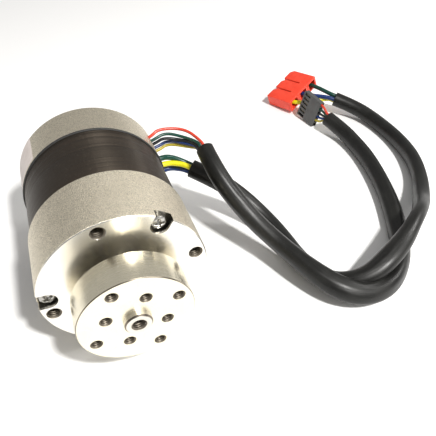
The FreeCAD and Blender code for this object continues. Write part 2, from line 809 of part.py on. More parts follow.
def power_terminals():
    """Flat receptacles with crimp barrels, one in each cell."""
    terminals = []
    middle = power_height / 2
    front = power_front_wall + loose_gap
    half = power_cell_half - loose_gap / 2
    for centre in power_cells:
        box = block((front, front + terminal_length), (centre - half, centre + half),
                    (middle - terminal_height / 2, middle + terminal_height / 2))
        slot_half = half * terminal_slot_share
        slot = block((front, front + terminal_length * terminal_slot_share),
                     (centre - slot_half, centre + slot_half),
                     (middle - terminal_slot / 2, middle + terminal_slot / 2))
        barrel = rod(barrel_radius, Vector(front + terminal_length, centre, middle),
                     Vector(barrel_end, centre, middle))
        terminals.append(placed(box.fuse(barrel).cut(slot).removeSplitter(), power_place()))
    return Part.makeCompound(terminals)


signal_height = signal_pitch * signal_count
signal_cells = [signal_pitch * (k + 0.5) for k in range(signal_count)]
contact_end = signal_front_wall + loose_gap + contact_length + contact_barrel_length


def signal_connector_housing():
    """Flat housing with a row of square cavities, pin holes in front and a latch window for each."""
    body = block((0, signal_length), (0, signal_thickness), (0, signal_height))
    middle = signal_thickness / 2
    half = signal_cavity / 2
    cutters = []
    for centre in signal_cells:
        cutters.append(block((signal_front_wall, signal_length), (middle - half, middle + half),
                             (centre - half, centre + half)))
        pin = signal_pin_hole / 2
        cutters.append(block((0, signal_front_wall), (middle - pin, middle + pin), (centre - pin, centre + pin)))
        window = signal_window_width / 2
        cutters.append(block((signal_window_start, signal_window_start + signal_window_length), (0, middle),
                             (centre - window, centre + window)))
    return placed(body.cut(cutters), signal_place())


def signal_terminals():
    """Box contacts with crimp barrels in the five wired cavities."""
    contacts = []
    middle = signal_thickness / 2
    front = signal_front_wall + loose_gap
    half = signal_cavity / 2 - running_gap
    for centre in signal_cells[1:]:
        box = block((front, front + contact_length), (middle - half, middle + half),
                    (centre - half, centre + half))
        bore = signal_pin_hole / 2
        hole = block((front, front + contact_length * contact_bore_share), (middle - bore, middle + bore),
                     (centre - bore, centre + bore))
        barrel = rod(hall_wire_diameter / 2, Vector(front + contact_length, middle, centre),
                     Vector(contact_end, middle, centre))
        contacts.append(placed(box.fuse(barrel).cut(hole).removeSplitter(), signal_place()))
    return Part.makeCompound(contacts)


def hall_wires():
    """The five thin wires by colour: each is a stretch at the motor and a stretch at the connector."""
    wires = {}
    place = signal_place()
    rearward = place.Rotation.multVec(Vector(signal_length - contact_end + hall_plug_exit, 0, 0))
    for k, (colour, angle) in enumerate(hall_wire_angles.items()):
        offset = (0, hall_row_spacing * (2 - k))
        near = motor_lead(angle, hall_wire_diameter, hall_pad_inset, hall_reach, hall_crests[colour],
                          hall_lead_in, offset, hall_route)
        start = place.multVec(Vector(contact_end, signal_thickness / 2, signal_cells[-1 - k]))
        far = plug_lead(start, rearward, hall_plug_lead_in, offset, hall_route)
        wires["hall_wire_" + colour] = Part.makeCompound([
            cord("hall %s at the motor" % colour, near, hall_wire_diameter),
            cord("hall %s at the connector" % colour, far, hall_wire_diameter)])
    return wires


def ring_offset(angle):
    """Sideways and upward offset of a phase wire in the mouth of its sleeve."""
    turn = math.radians(angle)
    return phase_ring_radius * math.cos(turn), phase_ring_radius * math.sin(turn)


def phase_wires():
    """The three thick wires by colour: each is a stretch at the motor and a stretch at the connector."""
    wires = {}
    place = power_place()
    rearward = place.Rotation.multVec(Vector(power_length - barrel_end + phase_plug_exit, 0, 0))
    for colour, angle in phase_wire_angles.items():
        offset = ring_offset(phase_ring_angles[colour])
        near = motor_lead(angle, phase_wire_diameter, phase_pad_inset, phase_reach, phase_crests[colour],
                          phase_lead_in, offset, phase_route)
        start = place.multVec(Vector(barrel_end, power_cells[phase_cells.index(colour)], power_height / 2))
        offset = ring_offset(phase_plug_angles[colour])
        far = plug_lead(start, rearward, phase_plug_lead_in, offset, phase_route)
        wires["phase_wire_" + colour] = Part.makeCompound([
            cord("phase %s at the motor" % colour, near, phase_wire_diameter),
            cord("phase %s at the connector" % colour, far, phase_wire_diameter)])
    return wires


def all_nodes():
    """Every piece of the motor by node name."""
    slots = lead_slots()
    nodes = {
        "front_end_cap": front_end_cap(),
        "rear_end_cap": rear_end_cap(),
        "stator_core": stator_core(),
        "front_slot_insulator": slot_insulator(stator_front, -1),
        "rear_slot_insulator": slot_insulator(stator_back, 1),
        "stator_coils": stator_coils(),
        "winding_leads": winding_leads(),
        "sensor_board": sensor_board(),
        "hall_sensors": hall_sensors(),
        "board_screws": board_screws(),
        "tie_screws": tie_screws(),
        "bearing_preload_spring": preload_spring(),
        "front_shaft_seal": shaft_seal(),
        "shaft": shaft(),
        "shaft_clip": shaft_clip(),
        "rotor_core": rotor_core(),
        "rotor_magnets": rotor_magnets(),
        "blade_hub": blade_hub(),
        "hub_grub_screw": hub_grub_screw(),
        "hall_lead_grommet": grommet(slots["hall"], hall_wire_diameter, hall_wire_angles),
        "phase_lead_grommet": grommet(slots["phase"], phase_wire_diameter, phase_wire_angles),
        "hall_cable_sleeve": cord("hall sleeve", hall_route, sleeve_diameter),
        "phase_cable_sleeve": cord("phase sleeve", phase_route, sleeve_diameter),
        "power_connector_housing": power_connector_housing(),
        "power_terminals": power_terminals(),
        "signal_connector_housing": signal_connector_housing(),
        "signal_terminals": signal_terminals()}
    for end, front in (("front", front_lip), ("rear", rear_bearing_front)):
        for piece, shape in bearing(front).items():
            nodes["%s_bearing_%s" % (end, piece)] = shape
    nodes.update(hall_wires())
    nodes.update(phase_wires())
    return nodes


def main():
    """Builds every node and writes one STEP file for each."""
    os.makedirs("parts", exist_ok=True)
    for name, shape in all_nodes().items():
        solids = shape.Solids
        if not shape.isValid() or not solids or min(solid.Volume for solid in solids) <= 0:
            raise ValueError("%s isn't a sound solid" % name)
        shape.exportStep(os.path.join("parts", name + ".step"))
        print("%-26s solids %2d volume %10.2f" % (name, len(solids), shape.Volume))


main()
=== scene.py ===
"""Dresses the mower blade motor: finishes for its solids, cables, threads, screws and plug housings."""
import sys
import logging
import math
from dataclasses import dataclass, field
from enum import Enum
from typing import Callable, Mapping, Optional, Sequence, Union

import bmesh
import bpy
import numpy as np
from mathutils import Matrix


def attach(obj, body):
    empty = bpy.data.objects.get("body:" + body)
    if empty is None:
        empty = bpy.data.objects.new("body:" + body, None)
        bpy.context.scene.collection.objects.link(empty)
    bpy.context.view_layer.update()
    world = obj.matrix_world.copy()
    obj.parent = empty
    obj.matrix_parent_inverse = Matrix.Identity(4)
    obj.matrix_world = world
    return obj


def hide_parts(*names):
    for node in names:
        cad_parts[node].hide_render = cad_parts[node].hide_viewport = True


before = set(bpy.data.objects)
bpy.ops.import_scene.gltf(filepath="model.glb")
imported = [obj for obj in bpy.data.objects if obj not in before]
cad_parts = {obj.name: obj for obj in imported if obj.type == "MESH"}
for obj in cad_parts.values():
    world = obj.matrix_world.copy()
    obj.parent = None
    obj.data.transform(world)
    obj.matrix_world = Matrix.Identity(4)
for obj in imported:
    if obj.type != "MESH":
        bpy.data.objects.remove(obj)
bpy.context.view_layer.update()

LOG = logging.getLogger("blade_motor")
MM = 0.001
TAU = 2 * math.pi
UP = np.array((0.0, 0.0, 1.0))
MERGE_DISTANCE = 2e-7
NOISE_RANGE = (0.3, 0.7)

Array = np.ndarray
Pair = tuple[float, float]
Point = tuple[float, float, float]
Colour = tuple[float, float, float]
Socket = bpy.types.NodeSocket
Sockets = Mapping[str, Socket]
Feed = Union[float, Sequence[float], Socket]
Feeds = dict[Union[str, int], Feed]


class Body(Enum):
    """The moving bodies of the motor that new pieces ride on."""

    MOTOR = "motor_body"
    ROTOR = "rotor"


class Side(Enum):
    """The six sides of a box, each with the axis that it is square to and its end of that axis."""

    FRONT = (0, 0)
    REAR = (0, 1)
    NEAR = (1, 0)
    FAR = (1, 1)
    BOTTOM = (2, 0)
    TOP = (2, 1)


def unit(vector: Array) -> Array:
    """Returns the vector, or each row of an array of vectors, at length one."""
    return vector / np.linalg.norm(vector, axis=-1, keepdims=True)


def across(line: Array, sideways: float, upwards: float) -> Array:
    """Returns an offset square to a line of length one: sideways in the floor plane, and upwards square to both."""
    side = unit(np.cross(line, UP))
    return side * sideways + np.cross(side, line) * upwards


def ring_angles(count: int) -> Array:
    """Returns the angles of points spread evenly round a circle."""
    return np.linspace(0, TAU, count, endpoint=False)


def about_shaft(radius: Array, turn: Array, station: Array) -> Array:
    """Returns the points at a radius, at an angle in radians round the shaft and at a station along it."""
    return np.stack(np.broadcast_arrays(radius * np.cos(turn), station, radius * np.sin(turn)), axis=-1)


def polar(radius: float, angle: float, station: float = 0.0) -> Array:
    """Returns the point at a radius, at an angle in degrees round the shaft and at a station along it."""
    return about_shaft(radius, math.radians(angle), station)


def hole_circle(radius: float, first: float, count: int = 4) -> tuple[Array, ...]:
    """Returns the centres of holes spread evenly on a circle round the shaft."""
    return tuple(polar(radius, first + 360 / count * k) for k in range(count))


@dataclass(frozen=True)
class Place:
    """Where a plug housing lies: its corner in millimetres, and its heading, rise and tilt in degrees."""

    corner: Point
    heading: float
    rise: float
    tilt: float

    def turn(self) -> Array:
        """Works out the rotation: the tilt about local X, the rise about local Y, then the heading about Z.

        Returns:
            The matrix, three by three.
        """
        h, r, t = (math.radians(angle) for angle in (self.heading, self.rise, self.tilt))
        about_z = np.array(((math.cos(h), -math.sin(h), 0), (math.sin(h), math.cos(h), 0), (0, 0, 1)))
        about_y = np.array(((math.cos(r), 0, math.sin(r)), (0, 1, 0), (-math.sin(r), 0, math.cos(r))))
        about_x = np.array(((1, 0, 0), (0, math.cos(t), -math.sin(t)), (0, math.sin(t), math.cos(t))))
        return about_z @ about_y @ about_x

    def put(self, points: Array) -> Array:
        """Returns local points, in millimetres, at their place in the motor's frame."""
        return points @ self.turn().T + np.array(self.corner)


@dataclass(frozen=True)
class Surface:
    """A mesh as arrays: points in millimetres, four-cornered faces, and a UV pair for each face corner."""

    points: Array
    faces: Array
    uv: Array

    @classmethod
    def grid(cls, points: Array, close_rows: bool = False, close_columns: bool = True,
             along: Optional[Array] = None) -> "Surface":
        """Makes the surface of a grid of points, with a face between each four neighbours.

        Args:
            points: array of rows by columns by three.
            close_rows: joins the last row to the first.
            close_columns: joins the last column to the first.
            along: U of each row; by default the row's share of the whole.

        Returns:
            The surface, with V running from 0 to 1 round the columns.
        """
        rows, columns = points.shape[:2]
        i, j = np.meshgrid(np.arange(rows - (not close_rows)), np.arange(columns - (not close_columns)),
                           indexing="ij")
        row = np.stack((i, i + 1, i + 1, i), axis=-1).reshape(-1, 4)
        column = np.stack((j, j, j + 1, j + 1), axis=-1).reshape(-1, 4)
        share = np.arange(rows) / rows if along is None else along
        uv = np.stack((share[row % rows], column / columns), axis=-1)
        return cls(points.reshape(-1, 3), (row % rows) * columns + column % columns, uv)

    @classmethod
    def join(cls, surfaces: Sequence["Surface"]) -> "Surface":
        """Joins several surfaces.

        Args:
            surfaces: the surfaces in order.

        Returns:
            All of them as one.
        """
        starts = np.cumsum([0] + [len(s.points) for s in surfaces[:-1]])
        faces = [s.faces + start for s, start in zip(surfaces, starts)]
        return cls(np.concatenate([s.points for s in surfaces]), np.concatenate(faces),
                   np.concatenate([s.uv for s in surfaces]))

    def moved(self, place: Place) -> "Surface":
        """Returns the surface at a place in the motor's frame."""
        return Surface(place.put(self.points), self.faces, self.uv)

    def piece(self, name: str, finish: "Finish", body: Body, slot: str, sharp: float) -> bpy.types.Object:
        """Makes the surface an object of the scene.

        Args:
            name: the piece's name.
            finish: what its surface is.
            body: the body that it rides on.
            slot: not used.
            sharp: edges over this angle in degrees stay sharp.

        Returns:
            The object, at the origin, with doubles merged and faces pointing outwards.
        """
        mesh = bpy.data.meshes.new(name)
        mesh.from_pydata((self.points * MM).tolist(), [], self.faces.tolist())
        mesh.uv_layers.new(name="Skin").data.foreach_set("uv", self.uv.astype(np.float32).ravel())
        work = bmesh.new()
        work.from_mesh(mesh)
        bmesh.ops.remove_doubles(work, verts=work.verts, dist=MERGE_DISTANCE)
        bmesh.ops.recalc_face_normals(work, faces=work.faces)
        work.to_mesh(mesh)
        work.free()
        mesh.polygons.foreach_set("use_smooth", np.ones(len(mesh.polygons), dtype=bool))
        mesh.set_sharp_from_angle(angle=math.radians(sharp))
        mesh.materials.append(finish.material())
        made = bpy.data.objects.new(name, mesh)
        bpy.context.scene.collection.objects.link(made)
        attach(made, body.value)
        LOG.info("%s: %d faces", name, len(mesh.polygons))
        return made


def spline(corners: Sequence[Sequence[float]], steps: int) -> Array:
    """Reads the points of a NURBS spline of order 3 that starts and ends at its outer corners.

    Args:
        corners: its control points.
        steps: points for each corner.

    Returns:
        The points in order along the line.
    """
    curve = bpy.data.curves.new("line", "CURVE")
    curve.dimensions = "3D"
    line = curve.splines.new("NURBS")
    line.points.add(len(corners) - 1)
    line.points.foreach_set("co", np.hstack((np.array(corners) * MM, np.ones((len(corners), 1)))).ravel())
    line.order_u, line.use_endpoint_u, line.resolution_u = 3, True, steps
    holder = bpy.data.objects.new("line", curve)
    read = bpy.data.meshes.new_from_object(holder)
    flat = np.empty(len(read.vertices) * 3)
    read.vertices.foreach_get("co", flat)
    bpy.data.objects.remove(holder)
    bpy.data.curves.remove(curve)
    bpy.data.meshes.remove(read)
    return flat.reshape(-1, 3) / MM


def travelled(line: Array) -> Array:
    """Returns the distance along a line of points at each of them."""
    return np.concatenate(((0.0,), np.cumsum(np.linalg.norm(np.diff(line, axis=0), axis=1))))


def rings(line: Array, radius: Array) -> Array:
    """Sets a ring of points square to a line at each of its points.

    The point at angle a is the line's point plus the radius times (cos a side + sin a lift), where side lies
    in the floor plane, square to the line, and lift is square to both.

    Args:
        line: points along the line.
        radius: array of line points by ring points.

    Returns:
        Array of line points by ring points by three.
    """
    ahead = unit(np.gradient(line, axis=0))
    side = unit(np.cross(ahead, UP))
    lift = np.cross(side, ahead)
    angle = ring_angles(radius.shape[1])[None, :, None]
    return line[:, None] + radius[..., None] * (np.cos(angle) * side[:, None] + np.sin(angle) * lift[:, None])


def capped(rows: Array) -> Array:
    """Returns rows of ring points with a row at the middle of the first and of the last, which closes them."""
    ends = [np.broadcast_to(end.mean(axis=1, keepdims=True), end.shape) for end in (rows[:1], rows[-1:])]
    return np.concatenate((ends[0], rows, ends[1]))


class Graph:
    """Adds and joins the nodes of one shader tree."""

    def __init__(self, tree: bpy.types.NodeTree) -> None:
        """Takes a tree and clears it."""
        self.tree = tree
        tree.nodes.clear()

    def add(self, kind: str, feeds: Optional[Feeds] = None, **settings: object) -> bpy.types.Node:
        """Adds a node.

        Args:
            kind: the node's type.
            feeds: what goes into its sockets: a value, or another node's output.
            settings: the node's own properties.

        Returns:
            The node.
        """
        node = self.tree.nodes.new(kind)
        for key, value in settings.items():
            setattr(node, key, value)
        for key, value in (feeds or {}).items():
            socket = node.inputs[key]
            if isinstance(value, Socket):
                self.tree.links.new(value, socket)
            else:
                socket.default_value = (*value, 1.0) if socket.type == "RGBA" else value
        return node

    def math(self, operation: str, *values: Feed) -> Socket:
        """Returns the output of a Math node."""
        return self.add("ShaderNodeMath", dict(enumerate(values)), operation=operation).outputs[0]

    def rise(self, value: Feed, low: float, high: float) -> Socket:
        """Returns a smooth step from 0 at a low value to 1 at a high one."""
        feeds = {"Value": value, "From Min": low, "From Max": high}
        return self.add("ShaderNodeMapRange", feeds, interpolation_type="SMOOTHSTEP").outputs[0]

    def fall(self, value: Feed, low: float, high: float) -> Socket:
        """Returns a smooth step from 1 at a low value to 0 at a high one."""
        return self.math("SUBTRACT", 1.0, self.rise(value, low, high))

    def mix(self, share: Feed, first: Feed, second: Feed) -> Socket:
        """Returns the mix of two colours."""
        return self.add("ShaderNodeMix", {0: share, 6: first, 7: second}, data_type="RGBA").outputs[2]

    def tint(self, mask: Feed, share: Feed, first: Feed, second: Feed) -> Socket:
        """Returns the first colour, with a share of the second where the mask is full."""
        return self.mix(self.math("MULTIPLY", mask, share), first, second)

    def blend(self, share: Feed, first: Feed, second: Feed) -> Socket:
        """Returns the mix of two values."""
        return self.add("ShaderNodeMix", {0: share, 2: first, 3: second}, data_type="FLOAT").outputs[0]

    def noise(self, vector: Feed, scale: Feed, detail: float = 2.0, rough: float = 0.5) -> Socket:
        """Returns the value of a noise texture."""
        feeds = {"Vector": vector, "Scale": scale, "Detail": detail, "Roughness": rough}
        return self.add("ShaderNodeTexNoise", feeds).outputs[0]

    def wave(self, value: Feed, length: float) -> Socket:
        """Returns the sine of a value that repeats after a length in millimetres."""
        return self.math("SINE", self.math("MULTIPLY", value, TAU / (length * MM)))

    def drawn(self, stretch: Pair, detail: float, rough: float) -> Socket:
        """Adds noise that is stretched along a cord.

        Args:
            stretch: scales of the cord's UV map.
            detail: how many finer layers the noise has.
            rough: how strong they are.

        Returns:
            The noise's value.
        """
        skin = self.add("ShaderNodeUVMap", uv_map="Skin").outputs[0]
        vector = self.add("ShaderNodeMapping", {"Vector": skin, "Scale": (*stretch, 1.0)}).outputs[0]
        return self.noise(vector, 1.0, detail, rough)

    def bump(self, height: Feed, depth: Feed, strength: float = 1.0, normal: Optional[Socket] = None) -> Socket:
        """Returns the normal of a Bump node, for a height in the range 0 to 1 and a depth in metres."""
        feeds = {"Height": height, "Distance": depth, "Strength": strength}
        return self.add("ShaderNodeBump", feeds if normal is None else {**feeds, "Normal": normal}).outputs[0]

    def lathe(self, amount: float) -> Feeds:
        """Returns the feeds of a highlight that is drawn out round the shaft by an amount."""
        tangent = self.add("ShaderNodeTangent", direction_type="RADIAL", axis="Y").outputs[0]
        return {"Anisotropic": amount, "Anisotropic Rotation": 0.25, "Tangent": tangent}

    def place(self) -> Socket:
        """Returns the Object coordinates."""
        return self.add("ShaderNodeTexCoord").outputs["Object"]

    def station(self) -> Socket:
        """Returns the station along the shaft, in metres."""
        return self.add("ShaderNodeSeparateXYZ", {0: self.place()}).outputs[1]

    def socket(self, name: str, in_out: str) -> None:
        """Adds a socket to a node group: a vector or a value, as its name says."""
        kind = "NodeSocketVector" if name in ("Vector", "Normal") else "NodeSocketFloat"
        self.tree.interface.new_socket(name=name, in_out=in_out, socket_type=kind)

    def effect(self, fill: Callable[["Graph", Sockets], Feeds], *values: float) -> Sockets:
        """Places a shared node group on the Object coordinates, and makes the group at its first use.

        Args:
            fill: fills the group: it takes the group's graph and inputs, and returns what its outputs give.
            values: the group's scale and, where it has a normal, its depth in metres.

        Returns:
            The outputs of the placed group.
        """
        group = bpy.data.node_groups.get(fill.__name__)
        if group is None:
            group = bpy.data.node_groups.new(fill.__name__, "ShaderNodeTree")
            inner = Graph(group)
            for name in ("Vector", "Scale", "Depth")[:len(values) + 1]:
                inner.socket(name, "INPUT")
            given = fill(inner, inner.add("NodeGroupInput").outputs)
            for name in given:
                inner.socket(name, "OUTPUT")
            inner.add("NodeGroupOutput", given)
        return self.add("ShaderNodeGroup", dict(enumerate((self.place(), *values))), node_tree=group).outputs


def grain_marks(graph: Graph, given: Sockets) -> Feeds:
    """Fills the grain group: fine and coarse noise as a mask, and the same as a bumped normal.

    Args:
        graph: the group's graph.
        given: the group's inputs.

    Returns:
        What its outputs give, by name.
    """
    coarse_scale, coarse_share = 0.22, 0.13
    fine = graph.noise(given["Vector"], given["Scale"], detail=3.0, rough=0.6)
    coarse = graph.noise(given["Vector"], graph.math("MULTIPLY", given["Scale"], coarse_scale))
    both = graph.blend(coarse_share, fine, coarse)
    return {"Mask": graph.rise(both, *NOISE_RANGE), "Normal": graph.bump(both, given["Depth"])}


def turning_marks(graph: Graph, given: Sockets) -> Feeds:
    """Fills the turning group: lines round the shaft, which change with the radius and the station.

    Args:
        graph: the group's graph.
        given: the group's inputs.

    Returns:
        What its outputs give, by name.
    """
    parts = graph.add("ShaderNodeSeparateXYZ", {0: given["Vector"]}).outputs
    flat = graph.add("ShaderNodeCombineXYZ", {0: parts[0], 1: parts[2]}).outputs[0]
    radius = graph.add("ShaderNodeVectorMath", {0: flat}, operation="LENGTH").outputs["Value"]
    along = graph.add("ShaderNodeCombineXYZ", {0: radius, 1: parts[1]}).outputs[0]
    line = graph.noise(along, given["Scale"], detail=3.0, rough=0.7)
    return {"Mask": graph.rise(line, *NOISE_RANGE), "Radius": radius, "Normal": graph.bump(line, given["Depth"])}


def smudge_marks(graph: Graph, given: Sockets) -> Feeds:
    """Fills the smudge group: soft blotches and small specks as two masks.

    Args:
        graph: the group's graph.
        given: the group's inputs.

    Returns:
        What its outputs give, by name.
    """
    speck_scale, blotch_range, speck_range = 14.0, (0.38, 0.68), (0.66, 0.74)
    blotch = graph.noise(given["Vector"], given["Scale"], detail=4.0, rough=0.55)
    speck = graph.noise(given["Vector"], graph.math("MULTIPLY", given["Scale"], speck_scale), detail=1.0)
    return {"Blotch": graph.rise(blotch, *blotch_range), "Speck": graph.rise(speck, *speck_range)}


@dataclass(frozen=True)
class Finish:
    """What a surface is made of and how it was worked.

    In all finishes a grain or lines pair is a scale and a depth in metres, blotch is the scale of the smudges,
    and a pair of roughness runs with the mask from 0 to 1. A share is how far a mask changes the colour, or its
    part in a mix of masks, a range is where a value turns from 0 to 1, and a depth is in metres.
    """

    name: str

    def material(self) -> bpy.types.Material:
        """Makes the finish's material at its first use.

        Returns:
            The material.
        """
        found = bpy.data.materials.get(self.name)
        if found:
            return found
        made = bpy.data.materials.new(self.name)
        made.use_nodes = True
        graph = Graph(made.node_tree)
        shader = graph.add("ShaderNodeBsdfPrincipled", self.work(graph))
        graph.add("ShaderNodeOutputMaterial", {"Surface": shader.outputs[0]})
        return made

    def work(self, graph: Graph) -> Feeds:
        """Works out what feeds the shader; each finish has its own way.

        Args:
            graph: the material's graph.

        Returns:
            Values and outputs by the names of the shader's sockets.
        """
        raise NotImplementedError


@dataclass(frozen=True)
class BlastedAluminium(Finish):
    """Cast aluminium, bead blasted, and turned bright inside a radius of its front face, in millimetres."""

    light: Colour = (0.97, 0.89, 0.73)
    dark: Colour = (0.45, 0.41, 0.32)
    bright: Colour = (0.90, 0.875, 0.82)
    dull: Colour = (0.78, 0.75, 0.68)
    # sunk is painted shade: the dark colour of the screw pockets sunk behind the front face, where shade falls
    sunk: Colour = (0.20, 0.19, 0.165)
    grain: Pair = (2900.0, 0.00036)
    lines: Pair = (5200.0, 0.000004)
    blotch: float = 130.0
    skin_rough: Pair = (0.52, 0.34)
    face_rough: Pair = (0.20, 0.28)
    turned_radius: float = 0.0
    turned_edge: float = 0.04
    turned_station: Pair = (3.3, 3.4)
    pocket_shade_station: Pair = (0.45, 1.2)
    anisotropy: float = 0.0
    lines_share: float = 0.35
    blotch_share: float = 0.08

    def work(self, graph: Graph) -> Feeds:
        """Mixes the blasted skin with the turned face by radius and station; painted shade darkens the face's
        pockets.

        Args:
            graph: the material's graph.

        Returns:
            Values and outputs by the names of the shader's sockets.
        """
        fine, cut = graph.effect(grain_marks, *self.grain), graph.effect(turning_marks, *self.lines)
        station = graph.station()
        inside = graph.fall(cut["Radius"], (self.turned_radius - self.turned_edge) * MM,
                            (self.turned_radius + self.turned_edge) * MM)
        front = graph.fall(station, *(at * MM for at in self.turned_station))
        turned = graph.math("MULTIPLY", inside, front)
        skin = graph.mix(fine["Mask"], self.dark, self.light)
        skin = graph.tint(graph.effect(smudge_marks, self.blotch)["Blotch"], self.blotch_share, skin, self.dark)
        face = graph.tint(cut["Mask"], self.lines_share, self.bright, self.dull)
        # painted shade: behind a station under the face, the pockets' walls take the dark sunk colour
        face = graph.mix(graph.rise(station, *(at * MM for at in self.pocket_shade_station)), face, self.sunk)
        rough = graph.blend(turned, graph.blend(fine["Mask"], *self.skin_rough),
                            graph.blend(cut["Mask"], *self.face_rough))
        normal = graph.add("ShaderNodeMix", {0: turned, 4: fine["Normal"], 5: cut["Normal"]}, data_type="VECTOR")
        return {"Base Color": graph.mix(turned, skin, face), "Roughness": rough, "Normal": normal.outputs[1],
                "Metallic": 1.0, **graph.lathe(self.anisotropy)}


@dataclass(frozen=True)
class TurnedMetal(Finish):
    """Bright metal with fine lines from the lathe, and painted shade on the bevel past a radius and in front of a
    station.
    """

    light: Colour = (0.92, 0.86, 0.69)
    dark: Colour = (0.79, 0.735, 0.575)
    rough: Pair = (0.18, 0.28)
    lines: Pair = (9000.0, 0.000003)
    anisotropy: float = 0.35
    bevel_radius: float = 0.0
    bevel_station: float = 0.0
    bevel_edge: float = 0.05
    # bevel is painted shade: the dark colour laid on the bevelled edge
    bevel: Colour = (0.20, 0.17, 0.14)
    blotch: float = 160.0
    lines_share: float = 0.5
    blotch_share: float = 0.2
    blotch_rough: float = 0.06

    def work(self, graph: Graph) -> Feeds:
        """Lines round the shaft change the colour, the roughness and the normal.

        Args:
            graph: the material's graph.

        Returns:
            Values and outputs by the names of the shader's sockets.
        """
        cut, blotch = graph.effect(turning_marks, *self.lines), graph.effect(smudge_marks, self.blotch)["Blotch"]
        colour = graph.tint(cut["Mask"], self.lines_share, self.light, self.dark)
        colour = graph.tint(blotch, self.blotch_share, colour, self.dark)
        # painted shade: the bevel past a radius and in front of a station takes the dark bevel colour
        if self.bevel_radius:
            past = graph.rise(cut["Radius"], self.bevel_radius * MM, (self.bevel_radius + self.bevel_edge) * MM)
            front = graph.fall(graph.station(), self.bevel_station * MM, (self.bevel_station + self.bevel_edge) * MM)
            colour = graph.tint(past, front, colour, self.bevel)
        rough = graph.math("MULTIPLY_ADD", blotch, self.blotch_rough, graph.blend(cut["Mask"], *self.rough))
        return {"Base Color": colour, "Roughness": rough, "Normal": cut["Normal"], "Metallic": 1.0,
                **graph.lathe(self.anisotropy)}


@dataclass(frozen=True)
class LaminatedSteel(Finish):
    """A stack of thin steel sheets under a dark satin lacquer; a sheet is in millimetres."""

    light: Colour = (0.022, 0.0160, 0.0120)
    dark: Colour = (0.0030, 0.0022, 0.0017)
    speck: Colour = (0.10, 0.085, 0.065)
    gloss: Colour = (1.0, 0.85, 0.68)
    rough: Pair = (0.27, 0.50)
    lines: Pair = (1000.0, 0.00005)
    blotch: float = 150.0
    sheet: float = 0.5
    sheet_depth: float = 0.00004
    sheet_range: Pair = (-0.9, 0.5)
    sheet_strength: float = 0.6
    lines_share: float = 0.75
    speck_share: float = 0.5
    specular: float = 0.6
    anisotropy: float = 0.9

    def work(self, graph: Graph) -> Feeds:
        """A wave along the shaft gives the sheets' edges, and noise breaks them up.

        Args:
            graph: the material's graph.

        Returns:
            Values and outputs by the names of the shader's sockets.
        """
        sheets = graph.rise(graph.wave(graph.station(), self.sheet), *self.sheet_range)
        cut = graph.effect(turning_marks, *self.lines)
        mask = graph.blend(self.lines_share, sheets, cut["Mask"])
        colour = graph.mix(mask, self.dark, self.light)
        speck = graph.effect(smudge_marks, self.blotch)["Speck"]
        return {"Base Color": graph.tint(speck, self.speck_share, colour, self.speck),
                "Roughness": graph.blend(mask, *self.rough),
                "Normal": graph.bump(sheets, self.sheet_depth, self.sheet_strength, cut["Normal"]),
                "Specular IOR Level": self.specular, "Specular Tint": self.gloss, **graph.lathe(self.anisotropy)}


@dataclass(frozen=True)
class Mottled(Finish):
    """A skin with grain and blotches; the share is that of the grain in the mask."""

    light: Colour = (0.75, 0.73, 0.68)
    dark: Colour = (0.55, 0.53, 0.48)
    rough: Pair = (0.22, 0.4)
    grain: Pair = (3000.0, 0.00002)
    blotch: float = 420.0
    share: float = 0.5
    metallic: float = 0.0
    glow: float = 0.0
    glow_radius: Colour = (1.0, 0.2, 0.1)
    glow_depth: float = 0.0006

    def work(self, graph: Graph) -> Feeds:
        """Grain and blotches change the colour and the roughness, and grain the normal; light passes if it glows.

        Args:
            graph: the material's graph.

        Returns:
            Values and outputs by the names of the shader's sockets.
        """
        fine = graph.effect(grain_marks, *self.grain)
        mask = graph.blend(self.share, graph.effect(smudge_marks, self.blotch)["Blotch"], fine["Mask"])
        glow = {"Subsurface Weight": self.glow, "Subsurface Radius": self.glow_radius,
                "Subsurface Scale": self.glow_depth}
        return {"Base Color": graph.mix(mask, self.light, self.dark), "Roughness": graph.blend(mask, *self.rough),
                "Normal": fine["Normal"], "Metallic": self.metallic, **(glow if self.glow else {})}


@dataclass(frozen=True)
class PlatedMetal(Mottled):
    """Plated or oxidised metal with a cloudy gloss."""

    metallic: float = 1.0


@dataclass(frozen=True)
class MouldedPlastic(Mottled):
    """Moulded plastic with a faint grain and a little unevenness of colour."""

    rough: Pair = (0.34, 0.5)
    grain: Pair = (2600.0, 0.00002)
    blotch: float = 260.0
    share: float = 0.35


@dataclass(frozen=True)
class WireInsulation(Finish):
    """Drawn plastic insulation with faint lines along the wire."""

    colour: Colour
    shade: Colour
    rough: Pair = (0.26, 0.40)
    stretch: Pair = (1.2, 26.0)
    blotch: float = 300.0
    share: float = 0.5
    depth: float = 0.00002

    def work(self, graph: Graph) -> Feeds:
        """Lines along the wire come from its UV map, and blotches from its place.

        Args:
            graph: the material's graph.

        Returns:
            Values and outputs by the names of the shader's sockets.
        """
        lines, marks = graph.drawn(self.stretch, detail=3.0, rough=0.6), graph.effect(smudge_marks, self.blotch)
        mask = graph.blend(self.share, graph.rise(lines, *NOISE_RANGE), marks["Blotch"])
        return {"Base Color": graph.mix(mask, self.colour, self.shade), "Roughness": graph.blend(mask, *self.rough),
                "Normal": graph.bump(lines, self.depth)}


